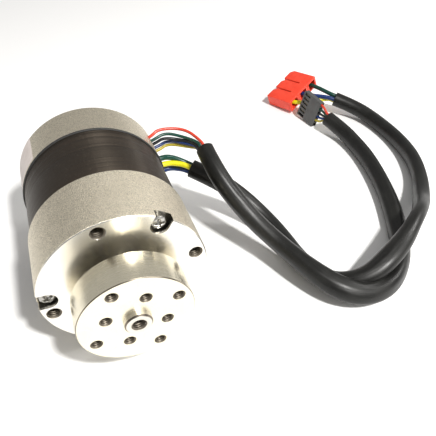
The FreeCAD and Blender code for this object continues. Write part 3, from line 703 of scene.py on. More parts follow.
@dataclass(frozen=True)
class SleeveRubber(Finish):
    """Soft black sleeving with faint drawn lines, rubbed spots and a satin skin."""

    light: Colour = (0.012, 0.012, 0.0105)
    dark: Colour = (0.004, 0.004, 0.0036)
    speck: Colour = (0.05, 0.05, 0.044)
    rough: Pair = (0.33, 0.47)
    grain: Pair = (1500.0, 0.00003)
    stretch: Pair = (0.12, 34.0)
    blotch: float = 120.0
    share: float = 0.45
    speck_share: float = 0.3
    depth: float = 0.00008
    strength: float = 0.7
    specular: float = 0.36

    def work(self, graph: Graph) -> Feeds:
        """Lines along the sleeve come from its UV map, and dull spots from its place.

        Args:
            graph: the material's graph.

        Returns:
            Values and outputs by the names of the shader's sockets.
        """
        lines, marks = graph.drawn(self.stretch, detail=4.0, rough=0.65), graph.effect(smudge_marks, self.blotch)
        mask = graph.blend(self.share, graph.rise(lines, *NOISE_RANGE), marks["Blotch"])
        colour = graph.mix(mask, self.dark, self.light)
        fine = graph.effect(grain_marks, *self.grain)
        return {"Base Color": graph.tint(marks["Speck"], self.speck_share, colour, self.speck),
                "Roughness": graph.blend(mask, *self.rough), "Specular IOR Level": self.specular,
                "Normal": graph.bump(lines, self.depth, self.strength, fine["Normal"])}


@dataclass(frozen=True)
class EnamelledCopper(Finish):
    """Turns of enamelled copper wire that lie side by side; the wire is in millimetres."""

    light: Colour = (0.72, 0.33, 0.13)
    dark: Colour = (0.30, 0.10, 0.035)
    rough: Pair = (0.25, 0.4)
    lines: Pair = (900.0, 0.00001)
    blotch: float = 300.0
    wire: float = 0.55
    turn_range: Pair = (-1.0, 0.4)
    turn_depth: float = 0.00012
    blotch_share: float = 0.35
    metallic: float = 0.85

    def work(self, graph: Graph) -> Feeds:
        """A wave by the radius from the shaft gives the turns.

        Args:
            graph: the material's graph.

        Returns:
            Values and outputs by the names of the shader's sockets.
        """
        radius = graph.effect(turning_marks, *self.lines)["Radius"]
        blotch = graph.effect(smudge_marks, self.blotch)["Blotch"]
        turns = graph.rise(graph.wave(radius, self.wire), *self.turn_range)
        colour = graph.mix(turns, self.dark, self.light)
        return {"Base Color": graph.tint(blotch, self.blotch_share, colour, self.dark),
                "Roughness": graph.blend(blotch, *self.rough), "Normal": graph.bump(turns, self.turn_depth),
                "Metallic": self.metallic}


@dataclass(frozen=True)
class CircuitBoard(Finish):
    """Glass fibre board under a green mask, with paler tracks under it."""

    light: Colour = (0.03, 0.26, 0.09)
    dark: Colour = (0.012, 0.13, 0.045)
    rough: Pair = (0.3, 0.22)
    lines: Pair = (420.0, 0.00001)
    blotch: float = 240.0
    track_range: Pair = (0.45, 0.55)
    track_depth: float = 0.00004

    def work(self, graph: Graph) -> Feeds:
        """Tracks are rings and patches where noise passes a level.

        Args:
            graph: the material's graph.

        Returns:
            Values and outputs by the names of the shader's sockets.
        """
        ring = graph.rise(graph.effect(turning_marks, *self.lines)["Mask"], *self.track_range)
        track = graph.math("MULTIPLY", ring, graph.effect(smudge_marks, self.blotch)["Blotch"])
        return {"Base Color": graph.mix(track, self.dark, self.light), "Roughness": graph.blend(track, *self.rough),
                "Normal": graph.bump(track, self.track_depth)}


@dataclass(frozen=True)
class StudioPaper(Finish):
    """The pale paper under the motor."""

    colour: Colour = (0.94, 0.94, 0.94)
    shade: float = 0.985
    scale: float = 900.0
    rough: float = 0.9
    specular: float = 0.1

    def work(self, graph: Graph) -> Feeds:
        """A trace of grain keeps the paper from being one flat tone.

        Args:
            graph: the material's graph.

        Returns:
            Values and outputs by the names of the shader's sockets.
        """
        shade = tuple(self.shade * part for part in self.colour)
        return {"Base Color": graph.mix(graph.noise(graph.place(), self.scale), self.colour, shade),
                "Roughness": self.rough, "Specular IOR Level": self.specular}


FRONT_CAP = BlastedAluminium("Blasted front cap", turned_radius=28.36, anisotropy=0.7)
REAR_CAP = BlastedAluminium("Blasted rear cap")
HUB = TurnedMetal("Turned hub", bevel_radius=18.46, bevel_station=-15.75)
SHAFT = TurnedMetal("Ground shaft", (0.74, 0.71, 0.65), (0.56, 0.53, 0.47), (0.2, 0.32), (4200.0, 0.00001), 0.3,
                    bevel_radius=4.02, bevel_station=-17.48)
BEARING = TurnedMetal("Ground bearing ring", (0.74, 0.74, 0.74), (0.60, 0.60, 0.60), (0.12, 0.2),
                      (6000.0, 0.000005), 0.2)
LAMINATION = LaminatedSteel("Lacquered lamination")
ZINC = PlatedMetal("Zinc plate")
SCREW = PlatedMetal("Screw plate", (0.50, 0.49, 0.46), (0.37, 0.36, 0.34), (0.2, 0.3))
BLACK_STEEL = PlatedMetal("Black oxide", (0.10, 0.10, 0.10), (0.05, 0.05, 0.05), (0.3, 0.45))
SPRING = PlatedMetal("Spring steel", (0.46, 0.46, 0.46), (0.34, 0.34, 0.34))
MAGNET = PlatedMetal("Nickel plate", (0.66, 0.65, 0.63), (0.52, 0.51, 0.49), (0.14, 0.26))
CAGE = PlatedMetal("Pressed cage", (0.55, 0.55, 0.54), (0.42, 0.42, 0.41))
# The tin's colour is darkened as painted shade, for terminals that sit inside shaded cells.
TIN_IN_PAINTED_SHADE = PlatedMetal("Tin plate", (0.17, 0.155, 0.125), (0.10, 0.09, 0.07), (0.34, 0.5))
# The thread's colour is darkened as painted shade inside the tapped holes.
THREAD_IN_PAINTED_SHADE = PlatedMetal("Cut thread", (0.24, 0.21, 0.17), (0.12, 0.105, 0.085), (0.48, 0.62))
RED_MOULDING = MouldedPlastic("Red moulding", (0.86, 0.062, 0.026), (0.74, 0.045, 0.018), (0.36, 0.48), glow=0.15)
GREY_MOULDING = MouldedPlastic("Grey moulding", (0.075, 0.075, 0.073), (0.052, 0.052, 0.051), (0.36, 0.5))
INSULATOR = MouldedPlastic("Slot insulator", (0.82, 0.80, 0.72), (0.72, 0.70, 0.62))
SENSOR = MouldedPlastic("Sensor case", (0.035, 0.035, 0.036), (0.022, 0.022, 0.023))
PAPER = MouldedPlastic("Blank paper", (0.78, 0.70, 0.66), (0.70, 0.62, 0.58), (0.42, 0.56), (1500.0, 0.00002))
RUBBER = Mottled("Black rubber", (0.014, 0.014, 0.013), (0.032, 0.031, 0.030), (0.55, 0.72), (2200.0, 0.00005),
                 share=1.0)
SLEEVE = SleeveRubber("Cable sleeve")
COPPER = EnamelledCopper("Enamelled turns")
BOARD = CircuitBoard("Masked board")

WIRES = {tint: WireInsulation(tint.replace("_", " ").capitalize() + " insulation", colour, shade)
         for tint, colour, shade in (
             ("red", (0.66, 0.060, 0.028), (0.50, 0.040, 0.020)),
             ("green", (0.006, 0.058, 0.040), (0.004, 0.038, 0.027)),
             ("black", (0.007, 0.007, 0.010), (0.004, 0.004, 0.006)),
             ("blue", (0.011, 0.036, 0.155), (0.007, 0.022, 0.10)),
             ("yellow", (0.46, 0.37, 0.035), (0.36, 0.28, 0.025)),
             ("bright_yellow", (0.80, 0.74, 0.015), (0.66, 0.60, 0.010)))}


@dataclass(frozen=True)
class DressedSolids:
    """The motor's solids by their finish; those that a finer piece replaces have one too."""

    finishes: Mapping[Finish, str] = field(default_factory=lambda: {
        FRONT_CAP: "front_end_cap", REAR_CAP: "rear_end_cap", HUB: "blade_hub", LAMINATION: "stator_core",
        INSULATOR: "front_slot_insulator rear_slot_insulator", COPPER: "stator_coils winding_leads",
        BOARD: "sensor_board", SENSOR: "hall_sensors", ZINC: "board_screws tie_screws",
        BLACK_STEEL: "hub_grub_screw shaft_clip", SPRING: "bearing_preload_spring", SHAFT: "shaft rotor_core",
        MAGNET: "rotor_magnets", CAGE: "front_bearing_cage rear_bearing_cage",
        BEARING: "front_bearing_outer_ring front_bearing_inner_ring front_bearing_balls "
                 "rear_bearing_outer_ring rear_bearing_inner_ring rear_bearing_balls",
        RUBBER: "front_shaft_seal front_bearing_shields rear_bearing_shields hall_lead_grommet phase_lead_grommet",
        SLEEVE: "hall_cable_sleeve phase_cable_sleeve", TIN_IN_PAINTED_SHADE: "power_terminals signal_terminals",
        RED_MOULDING: "power_connector_housing", GREY_MOULDING: "signal_connector_housing",
        WIRES["red"]: "hall_wire_red", WIRES["green"]: "hall_wire_green phase_wire_green",
        WIRES["black"]: "hall_wire_black", WIRES["blue"]: "hall_wire_blue phase_wire_blue",
        WIRES["yellow"]: "hall_wire_yellow", WIRES["bright_yellow"]: "phase_wire_yellow"})

    def dress(self) -> None:
        """Gives every solid of the frame its finish."""
        by_name = {name: finish for finish, names in self.finishes.items() for name in names.split()}
        for name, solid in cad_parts.items():
            finish = by_name[name].material()
            if not solid.material_slots:
                solid.data.materials.append(finish)
            for slot in solid.material_slots:
                slot.material = finish
            LOG.info("%s: %s", name, finish.name)


@dataclass(frozen=True)
class TieScrews:
    """The three long screws that clamp the caps: domed heads with a cross recess, in millimetres."""

    circle: float = 25.0
    first: float = 57.6
    count: int = 3
    seat: float = 3.2
    head_radius: float = 2.55
    head_height: float = 2.1
    wall: float = 1.5
    shank: float = 1.5
    end: float = 63.5
    tip: float = 0.3
    arm: float = 0.5
    arm_soft: float = 0.0315
    reach: float = 1.7
    reach_soft: float = 0.072
    depth: float = 1.7
    floor_rise: float = 0.55
    cross_turn: float = 0.5
    fine_radius: float = 1.9
    fine_rows: int = 34
    rim_gap: float = 0.1
    rim_rows: int = 8
    ring_points: int = 120

    def crown(self, radius: Array, angle: Array) -> Array:
        """Works out the height of a head above its seat.

        The dome falls from the full height as the fourth power of the radius. The cross is sunk into it: an arm is
        where one coordinate is within the arm's half width and the other within its reach, with soft edges, and
        its floor rises from the middle outwards.

        Args:
            radius: distance from the head's middle.
            angle: angle round it.

        Returns:
            The height of each point.
        """
        dome = self.head_height - (self.head_height - self.wall) * (radius / self.head_radius) ** 4
        parts = np.abs(radius * np.cos(angle)), np.abs(radius * np.sin(angle))
        narrow = [1 / (1 + np.exp((part - self.arm) / self.arm_soft)) for part in parts]
        long = [1 / (1 + np.exp((part - self.reach) / self.reach_soft)) for part in parts]
        cross = np.maximum(narrow[0] * long[1], narrow[1] * long[0])
        return dome - cross * self.depth * (1 - self.floor_rise * np.clip(radius / self.reach, 0, 1))

    def screw(self, angle: float) -> Surface:
        """Makes one screw: rows from the middle of the head, over its edge, down the shank to its end.

        Args:
            angle: where it stands round the shaft, in degrees.

        Returns:
            The screw, with its cross turned a little off the radius.
        """
        turn, bottom = ring_angles(self.ring_points), self.seat - self.end
        radius = np.concatenate((np.linspace(0, self.fine_radius, self.fine_rows),
                                 np.linspace(self.fine_radius + self.rim_gap, self.head_radius, self.rim_rows)))
        skirt = (self.head_radius, self.head_radius, self.shank, self.shank, self.shank - self.tip, 0.0)
        fall = np.array((self.wall / 2, 0.0, 0.0, bottom + self.tip, bottom, bottom))
        top = self.crown(radius[:, None], turn)
        height = np.concatenate((top, np.repeat(fall[:, None], len(turn), axis=1)))
        turned = turn + math.radians(angle) + self.cross_turn
        points = about_shaft(np.concatenate((radius, skirt))[:, None], turned, self.seat - height)
        return Surface.grid(polar(self.circle, angle) + points)

    def build(self) -> None:
        """Makes the three screws one piece, in place of their solids."""
        turns = [self.first + 360 / self.count * k for k in range(self.count)]
        made = Surface.join([self.screw(turn) for turn in turns]).piece(
            "cross_head_tie_screws", SCREW, Body.MOTOR, "zinc_steel", sharp=40.0)
        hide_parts("tie_screws")


@dataclass(frozen=True)
class SeamBead:
    """A thin black bead in the corner between the stator and the rear cap, which darkens the seam, in millimetres.
    """

    radius: float = 27.72
    station: float = 51.45
    height: float = 0.42
    width: float = 0.6
    uneven: float = 0.03
    waves: Pair = (7.0, 3.0)
    shift: float = 1.0
    turn_points: int = 240
    ring_points: int = 14

    def build(self) -> None:
        """Makes the bead: an ellipse of points carried round the shaft, whose height two waves make uneven."""
        turn, ring = ring_angles(self.turn_points)[:, None], ring_angles(self.ring_points)
        fast, slow = self.waves
        uneven = 1 + self.uneven * np.sin(fast * turn) * np.sin(slow * turn + self.shift)
        points = about_shaft(self.radius + self.height * uneven * np.cos(ring), turn,
                             self.station + self.width * np.sin(ring))
        Surface.grid(points, close_rows=True).piece("seam_bead", RUBBER, Body.MOTOR, "black_rubber", sharp=60.0)


@dataclass(frozen=True)
class BlankPatch:
    """A bare patch of pale paper stuck on the side of the rear cap, in millimetres and degrees."""

    radius: float = 28.0
    thickness: float = 0.09
    rim_sink: float = 0.02
    under_sink: float = 0.05
    start: float = 52.8
    end: float = 67.6
    first: float = 136.0
    last: float = 205.0
    rim_power: int = 40
    rows: int = 61
    columns: int = 31

    @staticmethod
    def rim(sheet: Array) -> Array:
        """Returns the points round the edge of a grid in order."""
        return np.concatenate((sheet[:, 0], sheet[-1, 1:], sheet[::-1, -1][1:], sheet[0, ::-1][1:-1]))

    def build(self) -> None:
        """Makes the patch: a sheet bent round the cap, with its rim turned down on to the cap.

        The radius is the cap's plus the thickness, and falls to just under the cap's own at the rim, as one
        minus a high power of each parameter from -1 to 1.
        """
        u, v = np.meshgrid(np.linspace(-1, 1, self.rows), np.linspace(-1, 1, self.columns), indexing="ij")
        lift = (1 - u ** self.rim_power) * (1 - v ** self.rim_power)
        turn = np.radians((self.first + self.last) / 2 + u * (self.last - self.first) / 2)
        station = (self.start + self.end) / 2 + v * (self.end - self.start) / 2
        sheets = (about_shaft(self.radius - self.rim_sink + (self.thickness + self.rim_sink) * lift, turn, station),
                  about_shaft(self.radius - self.under_sink, turn, station))
        parts = [Surface.grid(sheet, close_columns=False) for sheet in sheets]
        parts.append(Surface.grid(np.stack([self.rim(sheet) for sheet in sheets])))
        Surface.join(parts).piece("blank_patch", PAPER, Body.MOTOR, "blasted_aluminium", sharp=40.0)


@dataclass(frozen=True)
class TappedHoles:
    """The cut threads that show in a set of tapped holes, in millimetres; their dark finish is painted shade inside
    the holes.
    """

    name: str
    body: Body
    slot: str
    centres: tuple[Array, ...]
    radius: float
    pitch: float
    face: float
    end: float
    bevel: float = 0.4
    ridge: float = 0.22
    root: float = 0.04
    back: float = 0.12
    skin: float = 0.02
    rim: float = 0.05
    ring_points: int = 36
    pitch_rows: int = 8

    def thread(self, centre: Array) -> Surface:
        """Makes one threaded lining.

        The inner radius at angle a and station y is the root's radius less the ridge times a triangle wave of
        y over the pitch less a over a full turn; the outer radius is a plain cylinder in the hole's wall. In
        front a cone lies just on the bevel of the hole's mouth.

        Args:
            centre: the hole's centre.

        Returns:
            The closed lining.
        """
        turn, start = ring_angles(self.ring_points), self.face + self.bevel
        station = np.linspace(start, self.end, int((self.end - start) / self.pitch * self.pitch_rows) + 1)
        phase = station[:, None] / self.pitch - turn / TAU
        inner = self.radius + self.root - self.ridge * (1 - 2 * np.abs(phase - np.floor(phase) - 0.5))
        outer = np.full_like(inner, self.radius + self.back)
        # painted shade: the lip cone lays the dark thread finish over the bevel of the hole's mouth
        lip = self.radius + np.array((self.bevel - self.rim, self.skin))
        mouth = self.face + np.array((self.skin, self.bevel - self.rim))
        radius = np.concatenate((np.repeat(lip[:, None], len(turn), axis=1), inner, outer))
        along = np.concatenate((mouth, station, station[::-1]))[:, None]
        return Surface.grid(centre + about_shaft(radius, turn, along), close_rows=True)

    def build(self) -> None:
        """Makes the linings of the set one piece."""
        Surface.join([self.thread(centre) for centre in self.centres]).piece(
            self.name, THREAD_IN_PAINTED_SHADE, self.body, self.slot, sharp=25.0)


@dataclass(frozen=True)
class Flat:
    """A stretch where a sleeve is pressed out of round: its share of the length, spread, amount and direction."""

    share: float
    spread: float
    amount: float
    direction: float

    def press(self, share: Array, angle: Array) -> Array:
        """Returns the change of radius: a bell along the length times the cosine of twice the angle."""
        bell = np.exp(-((share - self.share) / self.spread) ** 2)
        return self.amount * bell * np.cos(2 * (angle - math.radians(self.direction)))


@dataclass(frozen=True)
class Crease(Flat):
    """A raised fold line along a sleeve, with a drift of its direction and a width in degrees."""

    drift: float = 0.0
    width: float = 20.0

    def press(self, share: Array, angle: Array) -> Array:
        """Works out the change of radius.

        It is a bell along the length times a narrow bell round the ring, whose middle drifts along the length.

        Args:
            share: share of the length of each ring.
            angle: angle of each point of a ring.

        Returns:
            The change of each point's radius, as a part of it.
        """
        run = (share - self.share) / self.spread
        off = np.angle(np.exp(1j * (angle - np.radians(self.direction + self.drift * run))))
        return self.amount * np.exp(-run ** 2) * np.exp(-(off / math.radians(self.width)) ** 2)


def box_rows(rows: Array, corner_points: int = 5) -> Array:
    """Sets out rounded rectangles square to X.

    Each corner is a quarter circle of the row's radius, and the sides between the corners are straight.

    Args:
        rows: a row for each rectangle: X, low Y, high Y, low Z, high Z, corner radius.
        corner_points: points of each quarter circle.

    Returns:
        Array of rows by points by three.
    """
    x, y0, y1, z0, z1, r = (rows[:, k, None] for k in range(6))
    quarter = np.linspace(0, math.pi / 2, corner_points)
    angle = np.concatenate([quarter + math.pi / 2 * k for k in range(-1, 3)])
    right, upper = (np.repeat(np.array(ends), corner_points) for ends in ((1, 1, 0, 0), (0, 1, 1, 0)))
    y = np.where(right, y1 - r, y0 + r) + r * np.cos(angle)
    z = np.where(upper, z1 - r, z0 + r) + r * np.sin(angle)
    return np.stack((x + 0 * y, y, z), axis=-1)


@dataclass(frozen=True)
class Plug:
    """A plug housing: where it lies, its length, where its wires start and how far they run straight behind it."""

    place: Place
    length: float
    wire_start: float
    wire_exit: float

    def cell_middle(self, number: int) -> Pair:
        """Returns the local Y and Z of a cell's middle; each housing has its own way."""
        raise NotImplementedError

    def cell_end(self, number: int) -> tuple[Array, Array]:
        """Returns where a cell's wire starts and how far it runs straight to the rear."""
        start = self.place.put(np.array((self.wire_start, *self.cell_middle(number))))
        return start, self.place.turn() @ np.array((self.length - self.wire_start + self.wire_exit, 0.0, 0.0))


@dataclass(frozen=True)
class PowerPlug(Plug):
    """The red housing: fingers side by side, each with a slot in front and a cell behind, in millimetres.

    The overlap and the edge are in parts of the edge's radius; the edge's pairs are its run and its inset.
    """

    place: Place = Place((117.0, 133.0, -28.5), -66.9, -7.0, 19.5)
    length: float = 17.9
    pitch: float = 8.33
    height: float = 7.0
    slit: float = 0.65
    slit_depth: float = 12.5
    tip: float = 2.2
    wall: float = 1.1
    cell: float = 2.74
    cell_front: float = 10.0
    cell_round: float = 0.5
    slot_near: float = 1.2
    slot_far: float = 3.4
    slot_half: float = 0.5
    slot_depth: float = 1.2
    slot_round: float = 0.2
    round_edge: float = 0.4
    edge: tuple[Pair, ...] = ((0.0, 1.0), (0.12, 0.5), (0.5, 0.13), (1.0, 0.0))
    overlap: float = 1.5
    fingers: int = 3
    step: float = 0.02
    wire_start: float = 13.0
    wire_exit: float = 2.2

    def finger(self, number: int) -> Surface:
        """Makes one finger.

        Each row is a rounded rectangle square to X. The rows run from the floor of the front slot out to the
        face, over the rounded front edge, along the outside to the rear edge, and down into the rear cell. The
        fingers overlap behind the slits, and the middle one stands a step off so that no two faces coincide.

        Args:
            number: its number, from 0 for the near finger.

        Returns:
            The closed finger in the housing's own frame.
        """
        low, high = number * self.pitch, (number + 1) * self.pitch
        middle, r, lift = (low + high) / 2, self.round_edge, self.step * (number == 1)
        full = self.length - lift
        slot = (low + self.slot_near, high - self.slot_far,
                self.height / 2 - self.slot_half, self.height / 2 + self.slot_half, self.slot_round)
        cell = (middle - self.cell, middle + self.cell, self.wall, self.height - self.wall, self.cell_round)

        def skin(x: float, inset: float, cut: float, split: bool) -> tuple[float, ...]:
            """Works out a row of the outside.

            Args:
                x: where it stands.
                inset: how far it is drawn in.
                cut: how far it is cut at the far front corner.
                split: whether a slit parts the fingers there.

            Returns:
                The row as box_rows takes it.
            """
            gap = self.slit / 2 if split else -self.overlap * r
            return (x, low + gap * (number > 0) + inset, high - gap * (number < self.fingers - 1) - inset - cut,
                    lift + inset, self.height + lift - inset, r)

        rows = np.array((
            (self.slot_depth, *slot), (0.0, *slot),
            *(skin(r * run, r * inset, self.tip - r * run, True) for run, inset in self.edge),
            skin(self.tip, 0.0, 0.0, True), skin(self.slit_depth, 0.0, 0.0, True),
            skin(self.slit_depth + self.step, 0.0, 0.0, False),
            *(skin(full - r * run, r * inset, 0.0, False) for run, inset in reversed(self.edge)),
            (full, *cell), (self.cell_front, *cell)))
        return Surface.grid(capped(box_rows(rows)))

    def cell_middle(self, number: int) -> Pair:
        """Returns the local Y and Z of a cell's middle, which is that of its finger."""
        return self.pitch * (number + 0.5), self.height / 2

    def build(self) -> bpy.types.Object:
        """Makes the housing in place of its solid.

        Returns:
            The housing's object.
        """
        fingers = Surface.join([self.finger(number) for number in range(self.fingers)])
        made = fingers.moved(self.place).piece(
            "red_plug_housing", RED_MOULDING, Body.MOTOR, "red_housing", sharp=28.0)
        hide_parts("power_connector_housing")
        return made


@dataclass(frozen=True)
class SignalPlug(Plug):
    """The grey housing: a flat block of cells, each with a window near its front and a wire hole behind."""

    place: Place = Place((125.4, 113.9, -26.1), -78.4, 7.2, -10.2)
    length: float = 14.0
    thickness: float = 3.4
    pitch: float = 2.54
    cells: int = 6
    cavity_half: float = 0.975
    cavity_depth: float = 3.0
    pin_half: float = 0.45
    pin_depth: float = 1.2
    window_start: float = 1.2
    window_length: float = 4.4
    window_width: float = 1.5
    window_depth: float = 2.0
    round_edge: float = 0.35
    edge_lines: int = 5
    plain_lines: int = 3
    step: float = 0.02
    wire_start: float = 11.1
    wire_exit: float = 1.5

    @property
    def width(self) -> float:
        """Returns the housing's width over all its cells."""
        return self.pitch * self.cells

    def lines(self, size: float, cuts: Sequence[float]) -> Array:
        """Works out the grid lines along one side: close at its rounded ends and in pairs at each cut.

        Args:
            size: length of the side.
            cuts: where an opening starts or ends.

        Returns:
            The lines in order, each once.
        """
        bend = self.round_edge * (1 - np.cos(np.linspace(0, math.pi / 2, self.edge_lines)))
        pairs = np.concatenate([(cut - self.step, cut + self.step) for cut in cuts])
        between = np.linspace(bend[-1], size - bend[-1], self.plain_lines)
        return np.unique(np.round(np.concatenate((bend, size - bend, pairs, between)), 4))

    def spans(self, half: float) -> Array:
        """Returns the two edges of an opening in each cell, across the housing."""
        middle = self.pitch * (np.arange(self.cells) + 0.5)
        return np.concatenate((middle - half, middle + half))

    def sunk(self, side: Side, point: Array) -> Array:
        """Works out how deep each point of a side is sunk.

        Args:
            side: the side that the points lie on.
            point: points on the plain box.

        Returns:
            The depth of each: that of a window, a wire hole or a pin hole inside one, and none elsewhere.
        """
        x, y, z = (point[..., k] for k in range(3))
        off = np.abs(z / self.pitch - np.floor(z / self.pitch) - 0.5) * self.pitch
        if side is Side.NEAR:
            inside = np.abs(x - self.window_start - self.window_length / 2) < self.window_length / 2
            return np.where(inside & (off < self.window_width / 2), self.window_depth, 0.0)
        holes = {Side.REAR: (self.cavity_half, self.cavity_depth), Side.FRONT: (self.pin_half, self.pin_depth)}
        half, depth = holes.get(side, (0.0, 0.0))
        return np.where((np.abs(y - self.thickness / 2) < half) & (off < half), depth, 0.0)

    def build(self) -> bpy.types.Object:
        """Makes the housing in place of its solid.

        Each side is a grid of its two axes. A point within the edge radius of an edge is drawn on to the
        rounding: it keeps its nearest point of the box less that radius, and stands off it by the radius. Then
        the windows and holes are sunk square to their side.

        Returns:
            The housing's object.
        """
        sizes = np.array((self.length, self.thickness, self.width))
        axes = (self.lines(self.length, (self.window_start, self.window_start + self.window_length)),
                self.lines(self.thickness, [self.thickness / 2 + off for half in (self.cavity_half, self.pin_half)
                                            for off in (-half, half)]),
                self.lines(self.width, np.concatenate([self.spans(half) for half in (
                    self.cavity_half, self.pin_half, self.window_width / 2)])))
        patches = []
        for side in Side:
            axis, end = side.value
            u, v = (k for k in range(3) if k != axis)
            first, second = np.meshgrid(axes[u], axes[v], indexing="ij")
            point = np.empty(first.shape + (3,))
            point[..., u], point[..., v], point[..., axis] = first, second, sizes[axis] * end
            depth = self.sunk(side, point)
            core = np.clip(point, self.round_edge, sizes - self.round_edge)
            point = core + unit(point - core) * self.round_edge
            point[..., axis] += depth * (1 - 2 * end)
            patches.append(Surface.grid(point, close_columns=False))
        made = Surface.join(patches).moved(self.place).piece(
            "grey_plug_housing", GREY_MOULDING, Body.MOTOR, "grey_housing", sharp=30.0)
        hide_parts("signal_connector_housing")
        return made

    def cell_middle(self, number: int) -> Pair:
        """Returns the local Y and Z of a cell's middle; 0 is the top cell."""
        return self.thickness / 2, self.pitch * (self.cells - 0.5 - number)


@dataclass(frozen=True)
class Wire:
    """One wire: its colour, its tint in WIRES, its cell in the plug, and how it runs, in millimetres and degrees.

    The angle is that of its exit, and out and crest are two points outside. The offset is its place in the near
    mouth of the sleeve, sideways and upwards, with a straight lead-in, and far is its radius and angle in the
    far mouth.
    """

    colour: str
    tint: str
    cell: int
    angle: float
    out: Point
    crest: Point
    offset: Pair
    lead_in: float
    far: Pair


@dataclass(frozen=True)
class Cable:
    """Wires in a soft sleeve from the motor to a plug, in millimetres and degrees.

    The corners are those of the sleeve's line. The wires start on a pad inside the rear cap and leave through
    its wall at a station. The sleeve has a wall, open cut ends and folds.
    """

    name: str
    corners: tuple[Point, ...]
    wires: tuple[Wire, ...]
    folds: tuple[Flat, ...]
    thickness: float
    pad: float
    exit_angle: float
    station: float
    lead_in: float
    twist: float
    cap_radius: float = 28.0
    gate: float = 29.0
    inside: float = 6.0
    diameter: float = 8.0
    wall: float = 0.75
    bulge: float = 0.018
    settle: float = 12.0
    wire_steps: int = 16
    wire_ring: int = 20
    sleeve_steps: int = 14
    sleeve_ring: int = 72

    def enter(self, mouth: Sequence[float], beyond: Sequence[float], offset: Pair, lead_in: float) -> list[Array]:
        """Runs a wire straight into a mouth of the sleeve and on inside it.

        Args:
            mouth: the sleeve's end.
            beyond: the next corner of the sleeve.
            offset: the wire's place in the mouth, sideways and upwards.
            lead_in: how far it runs straight before the mouth.

        Returns:
            The wire's points before, in and behind the mouth.
        """
        line = unit(np.subtract(beyond, mouth))
        place = mouth + across(line, *offset)
        return [place - line * lead_in, place, place + line * self.inside]

    def stretch(self, corners: Sequence[Sequence[float]]) -> Surface:
        """Makes a round bar of the wire's thickness along a spline, closed at both ends.

        Args:
            corners: the spline's control points.

        Returns:
            The bar, with U as the distance along it.
        """
        line = spline(corners, self.wire_steps)
        along = travelled(line)
        rows = capped(rings(line, np.full((len(line), self.wire_ring), self.thickness / 2)))
        return Surface.grid(rows, along=np.concatenate((along[:1], along, along[-1:])))

    def lead(self, wire: Wire, plug: Plug) -> bpy.types.Object:
        """Makes a wire's stretches at the motor and at the plug one piece, in place of its solid.

        Args:
            wire: the wire.
            plug: the plug that it runs to.

        Returns:
            The wire's object.
        """
        start, rearward = plug.cell_end(wire.cell)
        sideways, _, upwards = polar(*wire.far)
        near = [polar(self.pad, wire.angle, self.station), polar(self.gate, wire.angle, self.station), wire.out,
                wire.crest, *self.enter(self.corners[0], self.corners[1], wire.offset, wire.lead_in)]
        far = [start, start + rearward,
               *self.enter(self.corners[-1], self.corners[-2], (sideways, upwards), self.lead_in)]
        made = Surface.join([self.stretch(near), self.stretch(far)]).piece(
            f"{self.name}_lead_{wire.colour}", WIRES[wire.tint], Body.MOTOR, "wire_" + wire.tint, sharp=60.0)
        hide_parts(f"{self.name}_wire_{wire.colour}")
        return made

    def skin(self, line: Array) -> Surface:
        """Makes the sleeve.

        The outer radius at share s and angle a is the plain radius times 1 plus the presses of all folds at s
        and a, plus the bulge of the strands inside times the cosine of their number times a less the twist. The
        inner wall is the same less the wall's thickness. Each ring sinks or rises until it is as low as a round
        one, less and less so towards the mouths.

        Args:
            line: points along the cord.

        Returns:
            The sleeve with its outer and inner wall joined at both mouths.
        """
        along, angle = travelled(line), ring_angles(self.sleeve_ring)
        share = (along / along[-1])[:, None]
        shape = 1 + self.bulge * np.cos(len(self.wires) * angle - TAU * self.twist * share)
        for fold in self.folds:
            shape = shape + fold.press(share, angle)
        radius = self.diameter / 2
        outer, inner = rings(line, radius * shape), rings(line, radius * shape - self.wall)
        sink = outer[..., 2].min(axis=1) - rings(line, np.full_like(shape, radius))[..., 2].min(axis=1)
        drop = np.zeros((len(line), 1, 3))
        drop[:, 0, 2] = sink * (1 - np.exp(-(np.minimum(along, along[-1] - along) / self.settle) ** 2))
        points = np.concatenate((outer - drop, (inner - drop)[::-1]))
        return Surface.grid(points, close_rows=True, along=np.concatenate((along, along[::-1])))

    def cover(self, pieces: Sequence[bpy.types.Object]) -> None:
        """Args:
            pieces: the wires, plug housing and terminals that lie on it; not used.
        """
        line = spline(self.corners, self.sleeve_steps)
        made = self.skin(line).piece(self.name + "_sleeve", SLEEVE, Body.MOTOR, "sleeve", sharp=50.0)
        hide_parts(self.name + "_cable_sleeve")
        tuple(polar(self.cap_radius, self.exit_angle, self.station) * MM)


